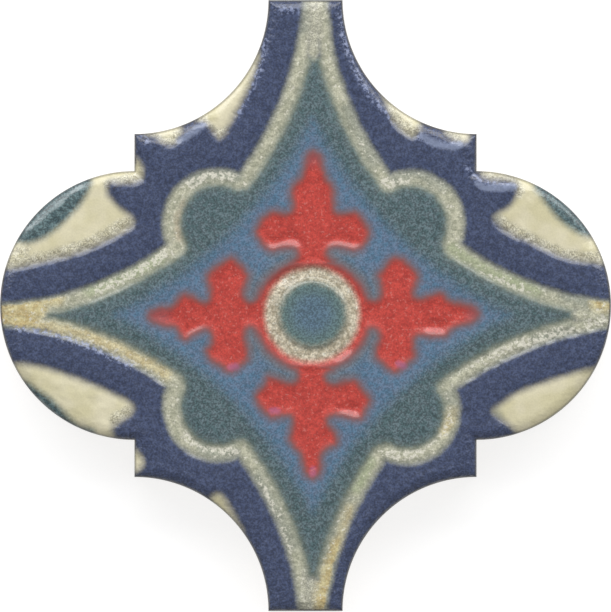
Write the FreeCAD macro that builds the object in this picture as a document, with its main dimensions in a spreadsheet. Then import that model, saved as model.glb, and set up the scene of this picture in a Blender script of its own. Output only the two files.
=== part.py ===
import FreeCAD, Part
import math
import os
import Sketcher

# Moroccan arabesque tile, pressed and fired in one piece.
# Millimetres, +Z up. The tile lies on its back: the origin is the middle of the back face,
# +Z leaves through the glazed face and +Y is the way that the ornament stands in a wall.

# Sizes of the outline. Its width is neck + two hollows + two lobes, and its height is
# two lobes + two shoulder steps + two hollows, so the four stay in step by themselves.
SIZES = [
    ("neck_width", 7.9, "straight end of the upper and the lower neck"),
    ("hollow_radius", 14.25, "quarter-round hollow from a neck to a shoulder"),
    ("shoulder_step", 3.95, "short straight edge from a shoulder down to a lobe"),
    ("lobe_radius", 14.3, "half-round lobe to the left and to the right"),
    ("tile_thickness", 7.0, "back face to glazed face"),
    ("edge_round", 0.8, "rounding where the glazed face meets the sides"),
    ("ornament_right", 0.77, "ornament's centre, to the right of the tile's centre"),
    ("ornament_drop", 1.05, "ornament's centre, below the tile's centre"),
    ("star_line_width", 1.75, "channel of the four-pointed star"),
    ("star_line_depth", 0.28, "how deep the star's channel is pressed"),
    ("star_flank_radius", 36.0, "long hollow flank from a cusp out to a point"),
    ("star_flank_lift", 3.5, "flank's centre, beyond the level of the tile's end"),
    ("star_band_spacing", 0.74, "between the two flank lines, level with the flank's centre"),
    ("star_lobe_radius", 4.95, "round lobe between two points of the star"),
    ("star_lobe_offset", 10.05, "lobe's centre, sideways and upwards from the star's centre"),
    ("star_tip_width", 0.74, "blunt tip of the raised field inside the star"),
    ("star_overrun", 3.0, "how far the star's channel is cut past the level of the tile's end"),
    ("ring_inner_radius", 3.5, "raised button in the middle"),
    ("ring_outer_radius", 6.05, "outer edge of the ring's channel"),
    ("ring_depth", 0.3, "how deep the ring's channel is pressed"),
    ("cross_depth", 0.34, "how deep the cross is pressed"),
    ("arm_stem_width", 3.7, "stem of a cross arm"),
    ("arm_bar_length", 12.2, "cross bar from end to end"),
    ("arm_bar_width", 4.3, "cross bar, measured along the arm"),
    ("arm_bar_gap", 0.8, "ring's channel to the near side of the cross bar"),
    ("arm_bud_radius", 2.2, "round bud beyond the cross bar"),
    ("arm_bud_rise", 1.55, "far side of the cross bar to the middle of the bud"),
    ("arm_tip_width", 1.75, "slim tip of a cross arm"),
    ("arm_tip_length", 2.6, "how far the tip stands out of the bud"),
    ("back_groove_length", 38.0, "keying groove in the back, end to end"),
    ("back_groove_width", 2.0, "keying groove, side to side"),
    ("back_groove_depth", 0.6, "keying groove, from the back face"),
    ("back_groove_pitch", 4.0, "from one keying groove to the next"),
    ("back_groove_count", 6, "keying grooves, an even number, so that a land stays in the middle"),
]

doc = FreeCAD.newDocument("arabesque_tile")
dims = doc.addObject("Spreadsheet::Sheet", "dims")
for row, (alias, value, meaning) in enumerate(SIZES, start=1):
    dims.set(f"A{row}", alias)
    dims.set(f"B{row}", str(value))
    dims.set(f"C{row}", meaning)
    dims.setAlias(f"B{row}", alias)
doc.recompute()


def size(alias):
    """The value in a named cell of the sheet."""
    return float(getattr(dims, alias))


body = doc.addObject("PartDesign::Body", "tile_body")
body.Label = "tile"
origin_xy = next(f for f in body.Origin.OriginFeatures if f.Role == "XY_Plane")
UP = FreeCAD.Vector(0, 0, 1)


def new_sketch(name, right="0", forward="0", height="0"):
    """A sketch parallel to the back face, moved by formulas on the sheet's cells."""
    sketch = body.newObject("Sketcher::SketchObject", name)
    sketch.AttachmentSupport = [(origin_xy, "")]
    sketch.MapMode = "FlatFace"
    sketch.setExpression("AttachmentOffset.Base.x", right)
    sketch.setExpression("AttachmentOffset.Base.y", forward)
    sketch.setExpression("AttachmentOffset.Base.z", height)
    return sketch


def line(sketch, start, end):
    """Adds a straight edge and gives its number."""
    a = FreeCAD.Vector(start[0], start[1], 0)
    b = FreeCAD.Vector(end[0], end[1], 0)
    return sketch.addGeometry(Part.LineSegment(a, b), False)


def arc(sketch, centre, radius, start_angle, end_angle):
    """Adds an arc that turns anticlockwise from one angle to the other."""
    middle = FreeCAD.Vector(centre[0], centre[1], 0)
    circle = Part.Circle(middle, UP, radius)
    return sketch.addGeometry(Part.ArcOfCircle(circle, start_angle, end_angle), False)


def rule(sketch, *parts):
    """Adds a constraint that holds no size."""
    return sketch.addConstraint(Sketcher.Constraint(*parts))


def driven(sketch, name, formula, *parts):
    """Adds a constraint with a size and binds that size to the sheet."""
    number = sketch.addConstraint(Sketcher.Constraint(*parts))
    sketch.renameConstraint(number, name)
    sketch.setExpression(f"Constraints.{name}", formula)
    return number


# Sketcher numbers the points of an edge from 1, and its own axes from -1 downwards. The
# horizontal axis starts in the origin.
START, END, CENTRE = range(1, 4)
X_AXIS, Y_AXIS = range(-1, -3, -1)
ORIGIN = X_AXIS

# Outline: necks above and below, quarter-round hollows, shoulders and half-round lobes.
neck_half = size("neck_width") / 2
hollow = size("hollow_radius")
lobe = size("lobe_radius")
centre_x = neck_half + hollow
shoulder_y = lobe + size("shoulder_step")
end_y = shoulder_y + hollow
half_turn = math.pi

outline = new_sketch("outline_sketch")
top_end = line(outline, (-neck_half, end_y), (neck_half, end_y))
hollow_ne = arc(outline, (centre_x, end_y), hollow, half_turn, 1.5 * half_turn)
step_ne = line(outline, (centre_x, shoulder_y), (centre_x, lobe))
lobe_e = arc(outline, (centre_x, 0), lobe, -0.5 * half_turn, 0.5 * half_turn)
step_se = line(outline, (centre_x, -lobe), (centre_x, -shoulder_y))
hollow_se = arc(outline, (centre_x, -end_y), hollow, 0.5 * half_turn, half_turn)
bottom_end = line(outline, (neck_half, -end_y), (-neck_half, -end_y))
hollow_sw = arc(outline, (-centre_x, -end_y), hollow, 0, 0.5 * half_turn)
step_sw = line(outline, (-centre_x, -shoulder_y), (-centre_x, -lobe))
lobe_w = arc(outline, (-centre_x, 0), lobe, 0.5 * half_turn, 1.5 * half_turn)
step_nw = line(outline, (-centre_x, lobe), (-centre_x, shoulder_y))
hollow_nw = arc(outline, (-centre_x, end_y), hollow, 1.5 * half_turn, 2 * half_turn)

for first, first_end, second, second_end in [
    (top_end, END, hollow_ne, START),
    (hollow_ne, END, step_ne, START),
    (step_ne, END, lobe_e, END),
    (lobe_e, START, step_se, START),
    (step_se, END, hollow_se, START),
    (hollow_se, END, bottom_end, START),
    (bottom_end, END, hollow_sw, START),
    (hollow_sw, END, step_sw, START),
    (step_sw, END, lobe_w, END),
    (lobe_w, START, step_nw, START),
    (step_nw, END, hollow_nw, START),
    (hollow_nw, END, top_end, START),
]:
    rule(outline, "Coincident", first, first_end, second, second_end)
for edge in (top_end, bottom_end):
    rule(outline, "Symmetric", edge, START, edge, END, Y_AXIS)
for edge in (step_ne, step_se, step_sw, step_nw):
    rule(outline, "Vertical", edge)
for edge, neck_side, shoulder_side in [
    (hollow_ne, START, END),
    (hollow_se, END, START),
    (hollow_sw, START, END),
    (hollow_nw, END, START),
]:
    rule(outline, "Horizontal", edge, CENTRE, edge, neck_side)
    rule(outline, "Vertical", edge, CENTRE, edge, shoulder_side)
for edge in (lobe_e, lobe_w):
    rule(outline, "PointOnObject", edge, CENTRE, X_AXIS)
    rule(outline, "Vertical", edge, CENTRE, edge, START)
driven(outline, "upper_neck", "dims.neck_width", "DistanceX", top_end, START, top_end, END,
       2 * neck_half)
driven(outline, "lower_neck", "dims.neck_width", "DistanceX", bottom_end, END, bottom_end, START,
       2 * neck_half)
for name, edge in [("ne", hollow_ne), ("se", hollow_se), ("sw", hollow_sw), ("nw", hollow_nw)]:
    driven(outline, f"hollow_{name}", "dims.hollow_radius", "Radius", edge, hollow)
for name, edge in [("e", lobe_e), ("w", lobe_w)]:
    driven(outline, f"lobe_{name}", "dims.lobe_radius", "Radius", edge, lobe)
for name, edge in [("ne", step_ne), ("se", step_se)]:
    driven(outline, f"step_{name}", "dims.shoulder_step", "DistanceY", edge, END, edge, START,
           shoulder_y - lobe)

blank = body.newObject("PartDesign::Pad", "blank")
blank.Profile = outline
blank.setExpression("Length", "dims.tile_thickness")
doc.recompute()

# The glaze draws back from the arris, so the face meets every side in a small rounding.
top_z = size("tile_thickness")
rim_edges = []
for number, edge in enumerate(blank.Shape.Edges, start=1):
    box = edge.BoundBox
    if abs(box.ZMin - top_z) < 1e-6 and abs(box.ZMax - top_z) < 1e-6:
        rim_edges.append(f"Edge{number}")
rim = body.newObject("PartDesign::Fillet", "rim_rounding")
rim.Base = (blank, rim_edges)
rim.setExpression("Radius", "dims.edge_round")
doc.recompute()

# Pressed ornament. Its centre sits a little right of and below the tile's centre.
PLACE = ("dims.ornament_right", "-dims.ornament_drop", "dims.tile_thickness")


def pressed(name, sketch, depth):
    """Presses a closed sketch into the glazed face."""
    pocket = body.newObject("PartDesign::Pocket", name)
    pocket.Profile = sketch
    pocket.setExpression("Length", depth)
    doc.recompute()
    return pocket


def meeting(centre_a, radius_a, centre_b, radius_b, side):
    """Where two circles cross, on the left (1) or right (-1) of the way from a to b."""
    across = centre_b[0] - centre_a[0]
    along = centre_b[1] - centre_a[1]
    apart = math.hypot(across, along)
    reach = (apart ** 2 + radius_a ** 2 - radius_b ** 2) / (2 * apart)
    height = side * math.sqrt(radius_a ** 2 - reach ** 2)
    unit = (across / apart, along / apart)
    return (centre_a[0] + reach * unit[0] - height * unit[1],
            centre_a[1] + reach * unit[1] + height * unit[0])


def angle_of(centre, point):
    """Direction from a centre to a point."""
    return math.atan2(point[1] - centre[1], point[0] - centre[0])


def swapped(point):
    """The same point on the other side of the diagonal."""
    return (point[1], point[0])


# One quarter of the star's channel, from its upper point round a lobe to its right point.
line_half = size("star_line_width") / 2
flank_radius = size("star_flank_radius")
flank_centre = (size("star_band_spacing") / 2 + flank_radius, end_y + size("star_flank_lift"))
lobe_centre = (size("star_lobe_offset"), size("star_lobe_offset"))
lobe_radius = size("star_lobe_radius")
far_y = end_y + size("star_overrun")
tip_half = size("star_tip_width") / 2
outer_flank = flank_radius - line_half
inner_flank = flank_radius + line_half
outer_lobe = lobe_radius + line_half
inner_lobe = lobe_radius - line_half
far_half = flank_centre[0] - math.sqrt(outer_flank ** 2 - (far_y - flank_centre[1]) ** 2)
tip_y = flank_centre[1] - math.sqrt(inner_flank ** 2 - (flank_centre[0] - tip_half) ** 2)
outer_end = (far_half, far_y)
inner_end = (tip_half, tip_y)
outer_cusp = meeting(lobe_centre, outer_lobe, flank_centre, outer_flank, 1)
inner_cusp = meeting(lobe_centre, inner_lobe, flank_centre, inner_flank, 1)
right_centre = swapped(flank_centre)

star = new_sketch("star_sketch", *PLACE)
far_top = line(star, (0, far_y), outer_end)
outer_top = arc(star, flank_centre, outer_flank, angle_of(flank_centre, outer_end) % (2 * half_turn),
                angle_of(flank_centre, outer_cusp) % (2 * half_turn))
outer_round = arc(star, lobe_centre, outer_lobe, angle_of(lobe_centre, swapped(outer_cusp)),
                  angle_of(lobe_centre, outer_cusp))
outer_right = arc(star, right_centre, outer_flank, angle_of(right_centre, swapped(outer_cusp)),
                  angle_of(right_centre, swapped(outer_end)))
far_right = line(star, swapped(outer_end), (far_y, 0))
side_right = line(star, (far_y, 0), (tip_y, 0))
tip_right = line(star, (tip_y, 0), swapped(inner_end))
inner_right = arc(star, right_centre, inner_flank, angle_of(right_centre, swapped(inner_cusp)),
                  angle_of(right_centre, swapped(inner_end)))
inner_round = arc(star, lobe_centre, inner_lobe, angle_of(lobe_centre, swapped(inner_cusp)),
                  angle_of(lobe_centre, inner_cusp))
inner_top = arc(star, flank_centre, inner_flank, angle_of(flank_centre, inner_end),
                angle_of(flank_centre, inner_cusp))
tip_top = line(star, inner_end, (0, tip_y))
side_top = line(star, (0, tip_y), (0, far_y))

for first, first_end, second, second_end in [
    (far_top, END, outer_top, START),
    (outer_top, END, outer_round, END),
    (outer_round, START, outer_right, START),
    (outer_right, END, far_right, START),
    (far_right, END, side_right, START),
    (side_right, END, tip_right, START),
    (tip_right, END, inner_right, END),
    (inner_right, START, inner_round, START),
    (inner_round, END, inner_top, END),
    (inner_top, START, tip_top, START),
    (tip_top, END, side_top, START),
    (side_top, END, far_top, START),
]:
    rule(star, "Coincident", first, first_end, second, second_end)
for edge in (far_top, tip_top):
    rule(star, "Horizontal", edge)
for edge in (far_right, tip_right):
    rule(star, "Vertical", edge)
for edge, end in [(side_top, START), (side_top, END)]:
    rule(star, "PointOnObject", edge, end, Y_AXIS)
for edge, end in [(side_right, START), (side_right, END)]:
    rule(star, "PointOnObject", edge, end, X_AXIS)
TILE_END = "dims.lobe_radius + dims.shoulder_step + dims.hollow_radius"
FAR_END = TILE_END + " + dims.star_overrun"
driven(star, "upper_end", FAR_END, "DistanceY", ORIGIN, START, side_top, END, far_y)
driven(star, "right_end", FAR_END, "DistanceX", ORIGIN, START, side_right, START, far_y)
driven(star, "upper_tip", "dims.star_tip_width / 2", "DistanceX", side_top, START, inner_top, START,
       tip_half)
driven(star, "right_tip", "dims.star_tip_width / 2", "DistanceY", side_right, END, inner_right, END,
       tip_half)
ACROSS = "dims.star_band_spacing / 2 + dims.star_flank_radius"
ALONG = TILE_END + " + dims.star_flank_lift"
for name, edge, right, up, right_value, up_value in [
    ("outer_top", outer_top, ACROSS, ALONG, *flank_centre),
    ("inner_top", inner_top, ACROSS, ALONG, *flank_centre),
    ("outer_right", outer_right, ALONG, ACROSS, *right_centre),
    ("inner_right", inner_right, ALONG, ACROSS, *right_centre),
    ("outer_round", outer_round, "dims.star_lobe_offset", "dims.star_lobe_offset", *lobe_centre),
    ("inner_round", inner_round, "dims.star_lobe_offset", "dims.star_lobe_offset", *lobe_centre),
]:
    driven(star, f"{name}_x", right, "DistanceX", ORIGIN, START, edge, CENTRE, right_value)
    driven(star, f"{name}_y", up, "DistanceY", ORIGIN, START, edge, CENTRE, up_value)
for name, edge, formula, value in [
    ("outer_top", outer_top, "dims.star_flank_radius - dims.star_line_width / 2", outer_flank),
    ("outer_right", outer_right, "dims.star_flank_radius - dims.star_line_width / 2", outer_flank),
    ("inner_top", inner_top, "dims.star_flank_radius + dims.star_line_width / 2", inner_flank),
    ("inner_right", inner_right, "dims.star_flank_radius + dims.star_line_width / 2", inner_flank),
    ("outer_round", outer_round, "dims.star_lobe_radius + dims.star_line_width / 2", outer_lobe),
    ("inner_round", inner_round, "dims.star_lobe_radius - dims.star_line_width / 2", inner_lobe),
]:
    driven(star, f"{name}_r", formula, "Radius", edge, value)
star_quarter = pressed("star_quarter", star, "dims.star_line_depth")


def four_times(name, sketch, originals):
    """Repeats pressed features four times about the ornament's centre."""
    pattern = body.newObject("PartDesign::PolarPattern", name)
    pattern.Originals = originals
    pattern.Axis = (sketch, ["N_Axis"])
    pattern.Angle = 360
    pattern.Occurrences = 4
    body.Tip = pattern
    doc.recompute()
    return pattern


star_channel = four_times("star_channel", star, [star_quarter])

# Ring: a round channel that leaves a raised button in the middle.
ring = new_sketch("ring_sketch", *PLACE)
for name, alias in [("inner", "ring_inner_radius"), ("outer", "ring_outer_radius")]:
    circle = Part.Circle(FreeCAD.Vector(0, 0, 0), UP, size(alias))
    edge = ring.addGeometry(circle, False)
    rule(ring, "Coincident", edge, CENTRE, ORIGIN, START)
    driven(ring, name, f"dims.{alias}", "Radius", edge, size(alias))
ring_channel = pressed("ring_channel", ring, "dims.ring_depth")

# Cross: stem, bar with round ends, bud and slim tip of one arm, then four arms. The arm is
# measured outwards from the ring, each piece from the one before it.
BAR_CENTRE = "dims.ring_outer_radius + dims.arm_bar_gap + dims.arm_bar_width / 2"
BUD_CENTRE = ("dims.ring_outer_radius + dims.arm_bar_gap + dims.arm_bar_width"
              " + dims.arm_bud_rise")
TIP_CENTRE = BUD_CENTRE + " + dims.arm_bud_radius + dims.arm_tip_length - dims.arm_tip_width / 2"
bar_centre = size("ring_outer_radius") + size("arm_bar_gap") + size("arm_bar_width") / 2
bud_centre = bar_centre + size("arm_bar_width") / 2 + size("arm_bud_rise")
tip_radius = size("arm_tip_width") / 2
tip_centre = bud_centre + size("arm_bud_radius") + size("arm_tip_length") - tip_radius
stem = new_sketch("arm_stem_sketch", *PLACE)
stem_half = size("arm_stem_width") / 2
stem_top = bud_centre
stem_low = (size("ring_inner_radius") + size("ring_outer_radius")) / 2
corners = [(-stem_half, stem_low), (stem_half, stem_low), (stem_half, stem_top),
           (-stem_half, stem_top)]
sides = [line(stem, corners[n], corners[(n + 1) % 4]) for n in range(4)]
for n in range(4):
    rule(stem, "Coincident", sides[n], END, sides[(n + 1) % 4], START)
rule(stem, "Vertical", sides[1])
for n in (0, 2):
    rule(stem, "Symmetric", sides[n], START, sides[n], END, Y_AXIS)
driven(stem, "width", "dims.arm_stem_width", "DistanceX", sides[0], START, sides[0], END,
       2 * stem_half)
driven(stem, "root", "(dims.ring_inner_radius + dims.ring_outer_radius) / 2", "DistanceY",
       ORIGIN, START, sides[0], START, stem_low)
driven(stem, "reach", BUD_CENTRE, "DistanceY", ORIGIN, START, sides[1], END, stem_top)
arm_stem = pressed("arm_stem", stem, "dims.cross_depth")


def round_ended(sketch, along_x, low, high, across, width, formulas):
    """A slot with half-round ends between two centres, along X or Y, mirrored rules bound."""
    radius = width / 2
    if along_x:
        ends = [(low, across), (high, across)]
        turns = [(0.5 * half_turn, 1.5 * half_turn), (-0.5 * half_turn, 0.5 * half_turn)]
        rails = [((low, across - radius), (high, across - radius)),
                 ((high, across + radius), (low, across + radius))]
    else:
        ends = [(across, low), (across, high)]
        turns = [(half_turn, 2 * half_turn), (0, half_turn)]
        rails = [((across + radius, low), (across + radius, high)),
                 ((across - radius, high), (across - radius, low))]
    first = arc(sketch, ends[0], radius, *turns[0])
    rail_out = line(sketch, *rails[0])
    second = arc(sketch, ends[1], radius, *turns[1])
    rail_back = line(sketch, *rails[1])
    rule(sketch, "Tangent", first, END, rail_out, START)
    rule(sketch, "Tangent", rail_out, END, second, START)
    rule(sketch, "Tangent", second, END, rail_back, START)
    rule(sketch, "Tangent", rail_back, END, first, START)
    driven(sketch, "radius", formulas["radius"], "Radius", first, radius)
    for name, edge, end in [("first", first, ends[0]), ("second", second, ends[1])]:
        for axis, kind, value in [("x", "DistanceX", end[0]), ("y", "DistanceY", end[1])]:
            key = f"{name}_{axis}"
            if key in formulas:
                driven(sketch, key, formulas[key], kind, ORIGIN, START, edge, CENTRE, value)
    return first, rail_out, second, rail_back


bar = new_sketch("arm_bar_sketch", *PLACE)
bar_radius = size("arm_bar_width") / 2
bar_half = size("arm_bar_length") / 2 - bar_radius
bar_edges = round_ended(bar, True, -bar_half, bar_half, bar_centre, 2 * bar_radius, {
    "radius": "dims.arm_bar_width / 2",
    "second_x": "(dims.arm_bar_length - dims.arm_bar_width) / 2",
    "second_y": BAR_CENTRE,
})
rule(bar, "Symmetric", bar_edges[0], CENTRE, bar_edges[2], CENTRE, Y_AXIS)
arm_bar = pressed("arm_bar", bar, "dims.cross_depth")

bud = new_sketch("arm_bud_sketch", *PLACE)
bud_middle = FreeCAD.Vector(0, bud_centre, 0)
bud_edge = bud.addGeometry(Part.Circle(bud_middle, UP, size("arm_bud_radius")), False)
rule(bud, "PointOnObject", bud_edge, CENTRE, Y_AXIS)
driven(bud, "centre", BUD_CENTRE, "DistanceY", ORIGIN, START, bud_edge, CENTRE, bud_centre)
driven(bud, "radius", "dims.arm_bud_radius", "Radius", bud_edge, size("arm_bud_radius"))
arm_bud = pressed("arm_bud", bud, "dims.cross_depth")

tip = new_sketch("arm_tip_sketch", *PLACE)
tip_edges = round_ended(tip, False, bud_centre, tip_centre, 0, 2 * tip_radius, {
    "radius": "dims.arm_tip_width / 2",
    "first_y": BUD_CENTRE,
    "second_y": TIP_CENTRE,
})
rule(tip, "PointOnObject", tip_edges[0], CENTRE, Y_AXIS)
rule(tip, "PointOnObject", tip_edges[2], CENTRE, Y_AXIS)
arm_tip = pressed("arm_tip", tip, "dims.cross_depth")
cross = four_times("cross", ring, [arm_stem, arm_bar, arm_bud, arm_tip])

# Back: shallow keying grooves for the adhesive, inside a plain margin.
FIRST_GROOVE = "-dims.back_groove_pitch * (dims.back_groove_count - 1) / 2"
groove = new_sketch("back_groove_sketch", "0", FIRST_GROOVE, "0")
groove_radius = size("back_groove_width") / 2
groove_half = size("back_groove_length") / 2 - groove_radius
groove_edges = round_ended(groove, True, -groove_half, groove_half, 0, 2 * groove_radius, {
    "radius": "dims.back_groove_width / 2",
    "second_x": "(dims.back_groove_length - dims.back_groove_width) / 2",
})
rule(groove, "PointOnObject", groove_edges[2], CENTRE, X_AXIS)
rule(groove, "Symmetric", groove_edges[0], CENTRE, groove_edges[2], CENTRE, Y_AXIS)
back_groove = body.newObject("PartDesign::Pocket", "back_groove")
back_groove.Profile = groove
back_groove.Reversed = True
back_groove.setExpression("Length", "dims.back_groove_depth")
doc.recompute()
back_grooves = body.newObject("PartDesign::LinearPattern", "back_grooves")
back_grooves.Originals = [back_groove]
back_grooves.Direction = (groove, ["V_Axis"])
back_grooves.setExpression("Length", "dims.back_groove_pitch * (dims.back_groove_count - 1)")
back_grooves.setExpression("Occurrences", "dims.back_groove_count")
body.Tip = back_grooves
doc.recompute()

# Every feature has to be sound, and each cut has to take material away.
volume = None
for feature in body.Group:
    if "Invalid" in feature.State or "Error" in feature.State:
        raise RuntimeError(f"{feature.Name} did not build: {feature.State}")
    if not hasattr(feature, "Shape") or feature.Shape.isNull():
        raise RuntimeError(f"{feature.Name} has no shape")
    if feature.isDerivedFrom("Sketcher::SketchObject"):
        continue
    if not feature.Shape.isValid():
        raise RuntimeError(f"{feature.Name} has a faulty shape")
    if volume is not None and feature.Shape.Volume >= volume:
        raise RuntimeError(f"{feature.Name} takes nothing away")
    volume = feature.Shape.Volume
    print(f"{feature.Name}: {volume:.2f} cubic mm")
if len(body.Shape.Solids) != 1:
    raise RuntimeError("the tile is not one solid")
bounds = body.Shape.optimalBoundingBox()
print(f"tile: {bounds.XLength:.3f} x {bounds.YLength:.3f} x {bounds.ZLength:.3f} mm")

os.makedirs("parts", exist_ok=True)
body.Shape.exportStep("parts/tile.step")
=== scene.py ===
# %% [markdown]
# # A glazed arabesque tile
# This lesson dresses one small Moroccan tile. On the real object a wet clay blank is pressed in a
# mould, which leaves shallow channels between slightly swollen fields, and each field is then
# flooded with its own coloured glaze. Everything here follows from that: first the blank, then the
# ornament as a few curves, then a rule that presses the curves into the blank, and at last a glaze
# that reads how far each spot lies from those curves.

# %% Start
import math
import bpy
import numpy as np
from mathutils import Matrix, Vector, kdtree
from mathutils.geometry import delaunay_2d_cdt


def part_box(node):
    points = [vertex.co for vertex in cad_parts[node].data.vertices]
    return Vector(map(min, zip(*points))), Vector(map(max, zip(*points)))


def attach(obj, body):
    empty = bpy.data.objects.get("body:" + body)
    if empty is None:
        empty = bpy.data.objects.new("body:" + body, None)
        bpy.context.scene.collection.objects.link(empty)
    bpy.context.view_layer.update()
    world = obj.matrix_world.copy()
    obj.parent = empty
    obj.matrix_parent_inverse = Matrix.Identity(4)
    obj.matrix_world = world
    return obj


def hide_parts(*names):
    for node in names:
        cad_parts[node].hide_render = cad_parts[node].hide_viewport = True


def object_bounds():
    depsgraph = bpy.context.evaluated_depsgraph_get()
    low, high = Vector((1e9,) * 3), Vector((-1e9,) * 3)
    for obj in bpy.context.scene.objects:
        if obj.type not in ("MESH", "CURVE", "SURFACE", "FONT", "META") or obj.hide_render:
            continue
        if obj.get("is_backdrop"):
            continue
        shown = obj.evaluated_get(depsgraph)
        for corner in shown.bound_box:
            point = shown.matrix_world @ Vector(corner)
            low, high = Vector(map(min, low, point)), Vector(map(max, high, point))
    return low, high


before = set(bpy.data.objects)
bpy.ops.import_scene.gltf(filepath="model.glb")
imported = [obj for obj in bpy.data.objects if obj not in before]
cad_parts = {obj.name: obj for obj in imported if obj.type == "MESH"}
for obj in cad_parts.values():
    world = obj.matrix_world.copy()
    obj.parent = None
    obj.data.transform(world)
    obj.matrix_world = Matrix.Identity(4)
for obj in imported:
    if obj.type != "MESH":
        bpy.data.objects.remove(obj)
CAD_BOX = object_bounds()
MM = 0.001
low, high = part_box("tile")
print("tile from the frame, mm:", [round((b - a) / MM, 2) for a, b in zip(low, high)])

# %% [markdown]
# ## The outline
# The real tile's outline is four quarter-round hollows, two half-round lobes, four short shoulder
# steps and two straight neck ends. A bitmap trace or a hand-drawn curve could give it too, but
# arcs from five sizes stay exact and can be shrunk inwards by any distance, which the rounded rim
# needs: a hollow's radius grows by that distance while a lobe's radius shrinks.

# %% Outline sizes, in millimetres, and one loop of the outline
HALF_SIZE = (high.x - low.x) / 2 / MM
THICKNESS = (high.z - low.z) / MM
HOLLOW_RADIUS = 14.25
LOBE_RADIUS = 14.3
SHOULDER_X = HALF_SIZE - LOBE_RADIUS
LOOP_STEP = 0.28


def arc_points(centre, radius, start, end, step):
    """Points on an arc from one angle to another, evenly spaced, without the last one."""
    count = max(2, round(abs(end - start) * radius / step))
    angles = np.linspace(start, end, count, endpoint=False)
    return np.column_stack([centre[0] + radius * np.cos(angles), centre[1] + radius * np.sin(angles)])


def straight_points(start, end, step):
    """Points on a straight run, evenly spaced, without the last one."""
    length = math.dist(start, end)
    share = np.linspace(0, 1, max(2, round(length / step)), endpoint=False)[:, None]
    return np.array(start) + share * (np.array(end) - np.array(start))


def outline(inset):
    """The tile's outline, drawn in by a distance. Every inset gives the same number of points."""
    hollow = HOLLOW_RADIUS + inset
    lobe = LOBE_RADIUS - inset
    slack = math.sqrt(hollow ** 2 - inset ** 2)
    neck = (SHOULDER_X - slack, HALF_SIZE - inset)
    shoulder = (SHOULDER_X - inset, HALF_SIZE - slack)
    armpit = (SHOULDER_X - inset, math.sqrt(lobe ** 2 - inset ** 2))
    turn = math.asin(inset / hollow)
    dip = math.asin(inset / lobe)
    step = LOOP_STEP
    quarter = np.vstack([
        straight_points((0, neck[1]), neck, step * neck[0] / (SHOULDER_X - HOLLOW_RADIUS)),
        arc_points((SHOULDER_X, HALF_SIZE), hollow, math.pi + turn, 1.5 * math.pi - turn,
                   step * hollow * (math.pi / 2 - 2 * turn) / (HOLLOW_RADIUS * math.pi / 2)),
        straight_points(shoulder, armpit,
                        step * (shoulder[1] - armpit[1]) / (HALF_SIZE - HOLLOW_RADIUS - LOBE_RADIUS)),
        arc_points((SHOULDER_X, 0), lobe, math.pi / 2 + dip, 0,
                   step * lobe * (math.pi / 2 + dip) / (LOBE_RADIUS * math.pi / 2)),
    ])
    east = [[SHOULDER_X + lobe, 0]]
    right = np.vstack([quarter, east, np.flipud(quarter) * [1, -1]])
    left = np.flipud(right[1:-1]) * [-1, 1]
    return np.vstack([right, left])


rim_loop = outline(0.0)
print("outline points:", len(rim_loop), "width", round(np.ptp(rim_loop[:, 0]), 2))

# %% [markdown]
# ## The ornament as curves
# The mould's ornament is a star line, a diamond, a flowered cross, a ring and the glaze patches near
# the edge. Each could be painted as an image, but then it would have one fixed sharpness. Here each
# is a curve through few points, in millimetres from the tile's middle, and a later step measures the
# distance to it. The real ornament was cut and painted by hand, so the star's four quarters have sizes
# of their own, and each arm of the cross has its own outline.

# %% A collection of pattern curves
patterns = {}


def smooth_loop(points, per_span=8, closed=True):
    """A smooth curve through a few points, given as many short steps."""
    p = np.array(points, float)
    if closed:
        a, b, c, d = np.roll(p, 1, 0), p, np.roll(p, -1, 0), np.roll(p, -2, 0)
    else:
        ends = np.vstack([2 * p[0] - p[1], p, 2 * p[-1] - p[-2]])
        a, b, c, d = ends[:-3], ends[1:-2], ends[2:-1], ends[3:]
    out = []
    for t in np.linspace(0, 1, per_span, endpoint=False):
        out.append(0.5 * (2 * b + (c - a) * t + (2 * a - 5 * b + 4 * c - d) * t ** 2
                          + (3 * b - a - 3 * c + d) * t ** 3))
    out = np.stack(out, axis=1).reshape(-1, 2)
    return out if closed else np.vstack([out, p[-1]])


def pattern(name, loops, closed=True):
    """Keeps the loops of one pattern and makes a flat curve object of them."""
    curve = bpy.data.curves.new(name, "CURVE")
    curve.dimensions = "2D"
    curve.fill_mode = "NONE"
    for loop in loops:
        spline = curve.splines.new("POLY")
        spline.points.add(len(loop) - 1)
        coords = np.column_stack([loop * MM, np.zeros(len(loop)), np.ones(len(loop))])
        spline.points.foreach_set("co", coords.ravel())
        spline.use_cyclic_u = closed
    obj = bpy.data.objects.new(name, curve)
    bpy.context.scene.collection.objects.link(obj)
    obj.hide_render = True
    obj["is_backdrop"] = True
    patterns[name] = (obj, loops)
    print(f"pattern {name}: {len(loops)} loops, {sum(map(len, loops))} points")


def turned(points, quarters, centre):
    """Points of a drawing around (0, 0), turned by quarter turns and moved to its centre."""
    x, y = np.array(points, float).T
    for _ in range(quarters % 4):
        x, y = y, -x
    return np.column_stack([x, y]) + centre


# %% [markdown]
# ## Star line and star field
# The cream line is one long hollow flank arc, a round lobe and another flank in each quarter. The
# flank arcs are centred a little beyond the tile's ends, so the two flanks of a point keep closing
# in until they merge into one band. Arcs keep the line's width even all the way round. The mould was
# cut by hand, so each quarter has its own lobe, its flanks lie a tenth or two to one side, and the
# teal field reaches its own length into the point.

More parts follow.
